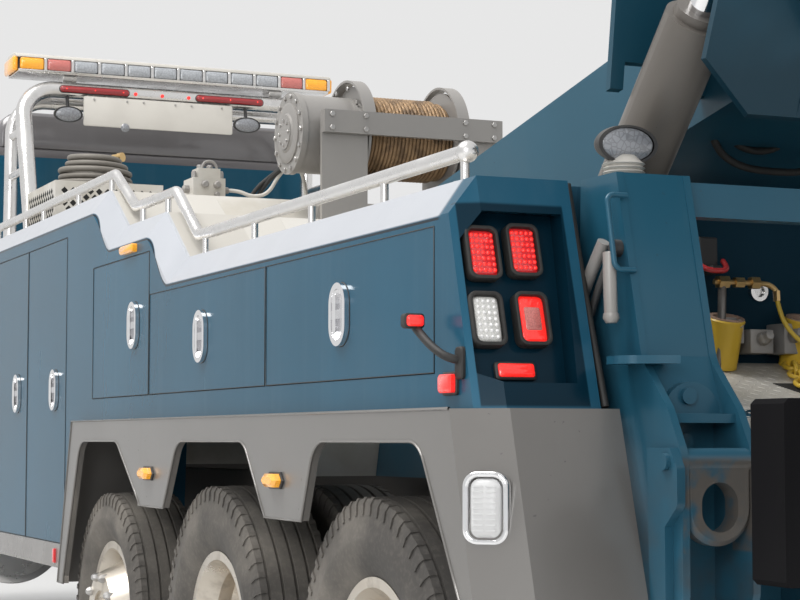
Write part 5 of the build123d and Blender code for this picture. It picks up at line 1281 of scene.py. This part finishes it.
# %% Valve block fittings
valve = at(0.695, -3.157, 2.335)
caps = [lathe([(0, 0), (0, r), (height, r), (height + 0.006, r * 0.7), (height + 0.006, 0)],
              stand(valve + Vector(offset), direction), 8)
        for offset, direction, r, height in (
            ((-0.062, 0.03, 0), UP, 0.012, 0.03), ((0.06, 0.03, 0), UP, 0.012, 0.026),
            ((-0.062, -0.035, 0), UP, 0.012, 0.022), ((0.025, 0.071, -0.03), BACK, 0.016, 0.018),
            ((-0.03, 0.071, -0.03), BACK, 0.016, 0.018), ((-0.03, 0.071, -0.072), BACK, 0.012, 0.014),
            ((0.076, 0, -0.045), LEFT, 0.018, 0.02), ((-0.071, 0.02, -0.045), RIGHT, 0.014, 0.026),
            ((-0.02, 0, 0.046), UP, 0.014, 0.012), ((0.025, 0, 0.046), UP, 0.014, 0.012))]
caps.append(pipe([valve + Vector((x, 0.03, z)) for x, z in (
    (-0.045, 0.04), (-0.04, 0.07), (-0.01, 0.08), (0.02, 0.07), (0.026, 0.04))], 0.006, 10))
settle("valve_caps", joined(caps), machine_grey, smooth=30)
tube("valve_hose", ((0.605, -3.137, 2.29), (0.555, -3.12, 2.29), (0.5, -3.1, 2.262), (0.43, -3.08, 2.275),
                    (0.39, -3.06, 2.36), (0.345, -3.04, 2.405), (0.3, -3.02, 2.385), (0.285, -3, 2.3),
                    (0.285, -3, 2.245)), 0.0085, pale_board)
for name, by in (("one", 0), ("two", 0.03)):
    tube("winch_hose_" + name, ((0.34, -2.86, 2.44), (0.345, -2.96 - by, 2.425), (0.4, -3.06 - by, 2.37),
                                (0.45 + by, -3.12, 2.3), (0.47 + by, -3.14, 2.247)), 0.01, seal_rubber)
print("valve block fitted")

# %% [markdown]
# The front end needs lenses on the CAD pods, with a dark frame behind each pair to give them an edge.

# %% Headlamps
pod = facing(Vector((0.89, box_of("grille")[0].y + 0.0395, 1.135)), AHEAD)
both("headlamp_frame", plate((0.35, 0.19, 0.02, 5), 0.006, pod, 0.002), trim_black, body="hood")
for name, x in (("inner", -0.085), ("outer", 0.085)):
    both("headlamp_" + name, plate((0.155, 0.16, 0.025, 6), 0.018, pod @ shift(x, 0, 0), 0.008), clear_lens,
         body="hood", smooth=40)
print("headlamps glazed")

# %% [markdown]
# Two grey control levers and a dark link hang at each rear column, beside the grab handle. A weather strip
# closes the gap between body and column, along the edge of the CAD panels.

# %% Levers and weather strips
knob = [(0, 0), (0, 0.019), (0.012, 0.021), (0.024, 0.014), (0.024, 0)]
levers = []
for top, bottom in ((at(0.88, 0.7, 1.7), at(0.885, 0.585, 1.56)),
                    (at(0.905, 0.772, 1.665), at(0.905, 0.778, 1.515))):
    levers.append(pipe([top, (top + bottom) / 2.0 + Vector((0.006, 0.008, 0)), bottom], 0.017, 16))
    levers.append(lathe(knob, stand(bottom, bottom - top), 16))
both("control_levers", joined(levers), machine_grey, smooth=60)
links = [pipe([at(0.862, 0.745, 1.69), at(0.88, 0.7, 1.64), at(0.885, 0.64, 1.52)], 0.01),
         turned_solid(0.022, 0.02, stand(at(0.861, 0.745, 1.68), LEFT), 16)]
both("lever_links", joined(links), trim_black, smooth=60)
strip = pipe([at(0.908, 0.56, 1.86), at(0.908, 0.64, 1.6), at(0.908, 0.752, 1.285)], 0.01, 8, soft=False)
both("column_seal", strip, seal_rubber, smooth=60)
print("levers and weather strips done")

# %% [markdown]
# Wheels show through the arches: ten nuts on a bolt circle, set by the ring tree on every wheel.

# %% Wheel nuts
nut = lathe([(0, 0), (0, 0.019), (0.018, 0.018), (0.03, 0.012), (0.034, 0.008), (0.034, 0)], steps=6)
for node in [n for n in nodes if n.startswith("rim")]:
    lo, hi = box_of(node)
    centre = (lo + hi) / 2.0
    sign = math.copysign(1, centre.x)
    sunk = 0.05 if node.startswith("rim_") else 0.16
    face = max(abs(lo.x), abs(hi.x)) - sunk
    place = stand(Vector((sign * face, centre.y, centre.z)), (sign, 0, 0))
    settle(node + "_nuts", ring_of(nut, zinc, 10, 0.1675, place), zinc, body=wheel_of(node), smooth=30)
print("wheel nuts set")

# %% [markdown]
# Each latch is an oval paddle: a chromed ring round a bowl with a T handle. The ring and handle belong
# to the door. Only the bowl's floor is added, measured from the door's own mesh, near-black as painted shade.

# %% Latch bowls
LATCH_FROM = 1.2505
BOWL_FACE = 1.2502
BOWL_WIDTH, BOWL_HEIGHT = 0.62, 0.74
doors = [n for n in nodes if n.startswith("door_")]
for node in doors:
    spots = [v.co for v in nodes[node].data.vertices if abs(v.co.x) > LATCH_FROM]
    lo = Vector([min(p[i] for p in spots) for i in range(3)])
    hi = Vector([max(p[i] for p in spots) for i in range(3)])
    sign = math.copysign(1, lo.x)
    size = (hi - lo) / 2.0
    place = facing(Vector((sign * BOWL_FACE, lo.y + size.y, lo.z + size.z)), (sign, 0, 0))
    bowl = plate(oval(size.y * 2.0 * BOWL_WIDTH, size.z * 2.0 * BOWL_HEIGHT), 0.0022, place, 0.0008)
    settle(node + "_bowl", bowl, dark, body=node, smooth=40)
print("latch bowls set")

# %% [markdown]
# The fender's sheet is rolled over along the arches and its outline, and every tool door closes on a thin
# dark seal. Both follow sharp edges of the CAD panels. A graph picks the edges that lie on one outer face,
# turns them into curves and sweeps a small circle along them, so no outline is typed twice.

# %% Beads along panel edges
SHARP_ANGLE = 0.9
SAME_POINT = 0.00005
bead_flow = Flow("bead_on_edges", Face=1.25, Band=0.0015, Thickness=0.004)
given = bead_flow.given
panel = bead_flow.add("GeometryNodeMergeByDistance", {},
                      {"Geometry": given["Geometry"], "Distance": SAME_POINT})
sideways = bead_flow.split(bead_flow.add("GeometryNodeInputPosition"))[0]
on_face = (sideways.absolute() - given["Face"]).absolute().under(given["Band"])
sharp = bead_flow.add("GeometryNodeInputMeshEdgeAngle").over(SHARP_ANGLE)
edges = bead_flow.add("GeometryNodeMeshToCurve", {}, {"Mesh": panel, "Selection": on_face * sharp})
bead_flow.wire(edges, 6, given["Thickness"])
fender_bead = bead_flow.run(nodes["rear_fenders"].data, fender_grey, Face=FENDER_FACE, Band=0.0012,
                            Thickness=0.0045)
settle("fender_beads", fender_bead, fender_grey, smooth=60)
for node in doors:
    seal = bead_flow.run(nodes[node].data, seal_rubber, Face=1.25, Band=0.0004, Thickness=0.0022)
    settle(node + "_seal", seal, seal_rubber, body=node, smooth=60)
print("beads along", len(doors), "doors and the fenders")

# %% [markdown]
# The studio is a pale floor that fades far off into an even pale glow, a big soft lamp over the truck's left
# shoulder, and a weaker one behind the camera. The world gives the rest, a little brighter above, so that
# chrome and paint have something to mirror.

# %% Floor, backdrop and lamps
FLOOR_STEPS = 96
pale = Graph("pale_floor")
far = ((pale.x * pale.x + pale.y * pale.y) / 400.0).step(0.25, 1)
glow = pale.add("ShaderNodeEmission", {}, {"Color": (0.8, 0.81, 0.82), "Strength": 1.0})
pale.finish(Base_Color=(0.64, 0.64, 0.635), Roughness=0.85)
lit_floor = Term(pale, pale.shader.outputs["BSDF"])
blend = pale.add("ShaderNodeMixShader", {}, {0: far * pale.seen(), 1: lit_floor, 2: glow})
pale.feed(pale.tree.nodes["Material Output"].inputs["Surface"], blend)
floor_z = cad_box[0][2] - 0.001
points = [(0, 0, floor_z)]
points += [(reach * math.cos(a), reach * math.sin(a), floor_z)
           for reach in (6, 12, 20, 60) for a in around(FLOOR_STEPS)]
polygons = []
for k in range(FLOOR_STEPS):
    here, beside = 1 + k, 1 + (k + 1) % FLOOR_STEPS
    polygons.append((0, here, beside))
    for level in range(0, 3 * FLOOR_STEPS, FLOOR_STEPS):
        polygons.append((here + level, here + level + FLOOR_STEPS,
                         beside + level + FLOOR_STEPS, beside + level))
floor_mesh = bpy.data.meshes.new("floor")
floor_mesh.from_pydata(points, [], polygons)
floor_mesh.materials.append(pale.material)
floor = linked("floor", floor_mesh)


def lamp(name, place, target, size, power, tint):
    """Square soft lamp aimed at a point."""
    data = bpy.data.lights.new(name, "AREA")
    data.shape = "SQUARE"
    data.size = size
    data.energy = power
    data.color = tint
    obj = linked(name, data)
    obj.location = place
    obj.rotation_euler = (target - place).to_track_quat("-Z", "Y").to_euler()


lamp("key", at(6, -2.5, 12), at(0.8, -0.5, 1.6), 6, 1320, (1, 0.985, 0.96))
lamp("corner", at(9.5, 10.5, 5), at(1.2, 0.5, 1.4), 5, 520, (0.98, 0.99, 1))
world = bpy.data.worlds.new("studio")
bpy.context.scene.world = world
world.use_nodes = True
sky = Tree(world.node_tree)
background = world.node_tree.nodes["Background"]
rise = sky.split(sky.add("ShaderNodeTexCoord", output="Generated"))[2]
above = sky.add("ShaderNodeMapRange", {}, {"Value": rise, "From Min": -0.05, "From Max": 0.75,
                                           "To Min": 0.24, "To Max": 1.2})
sky.feed(background.inputs["Strength"], sky.add("ShaderNodeMix", {}, {0: sky.seen(), 2: above, 3: 0.8}))
sky.feed(background.inputs["Color"], (1, 1, 1))
print("studio ready")
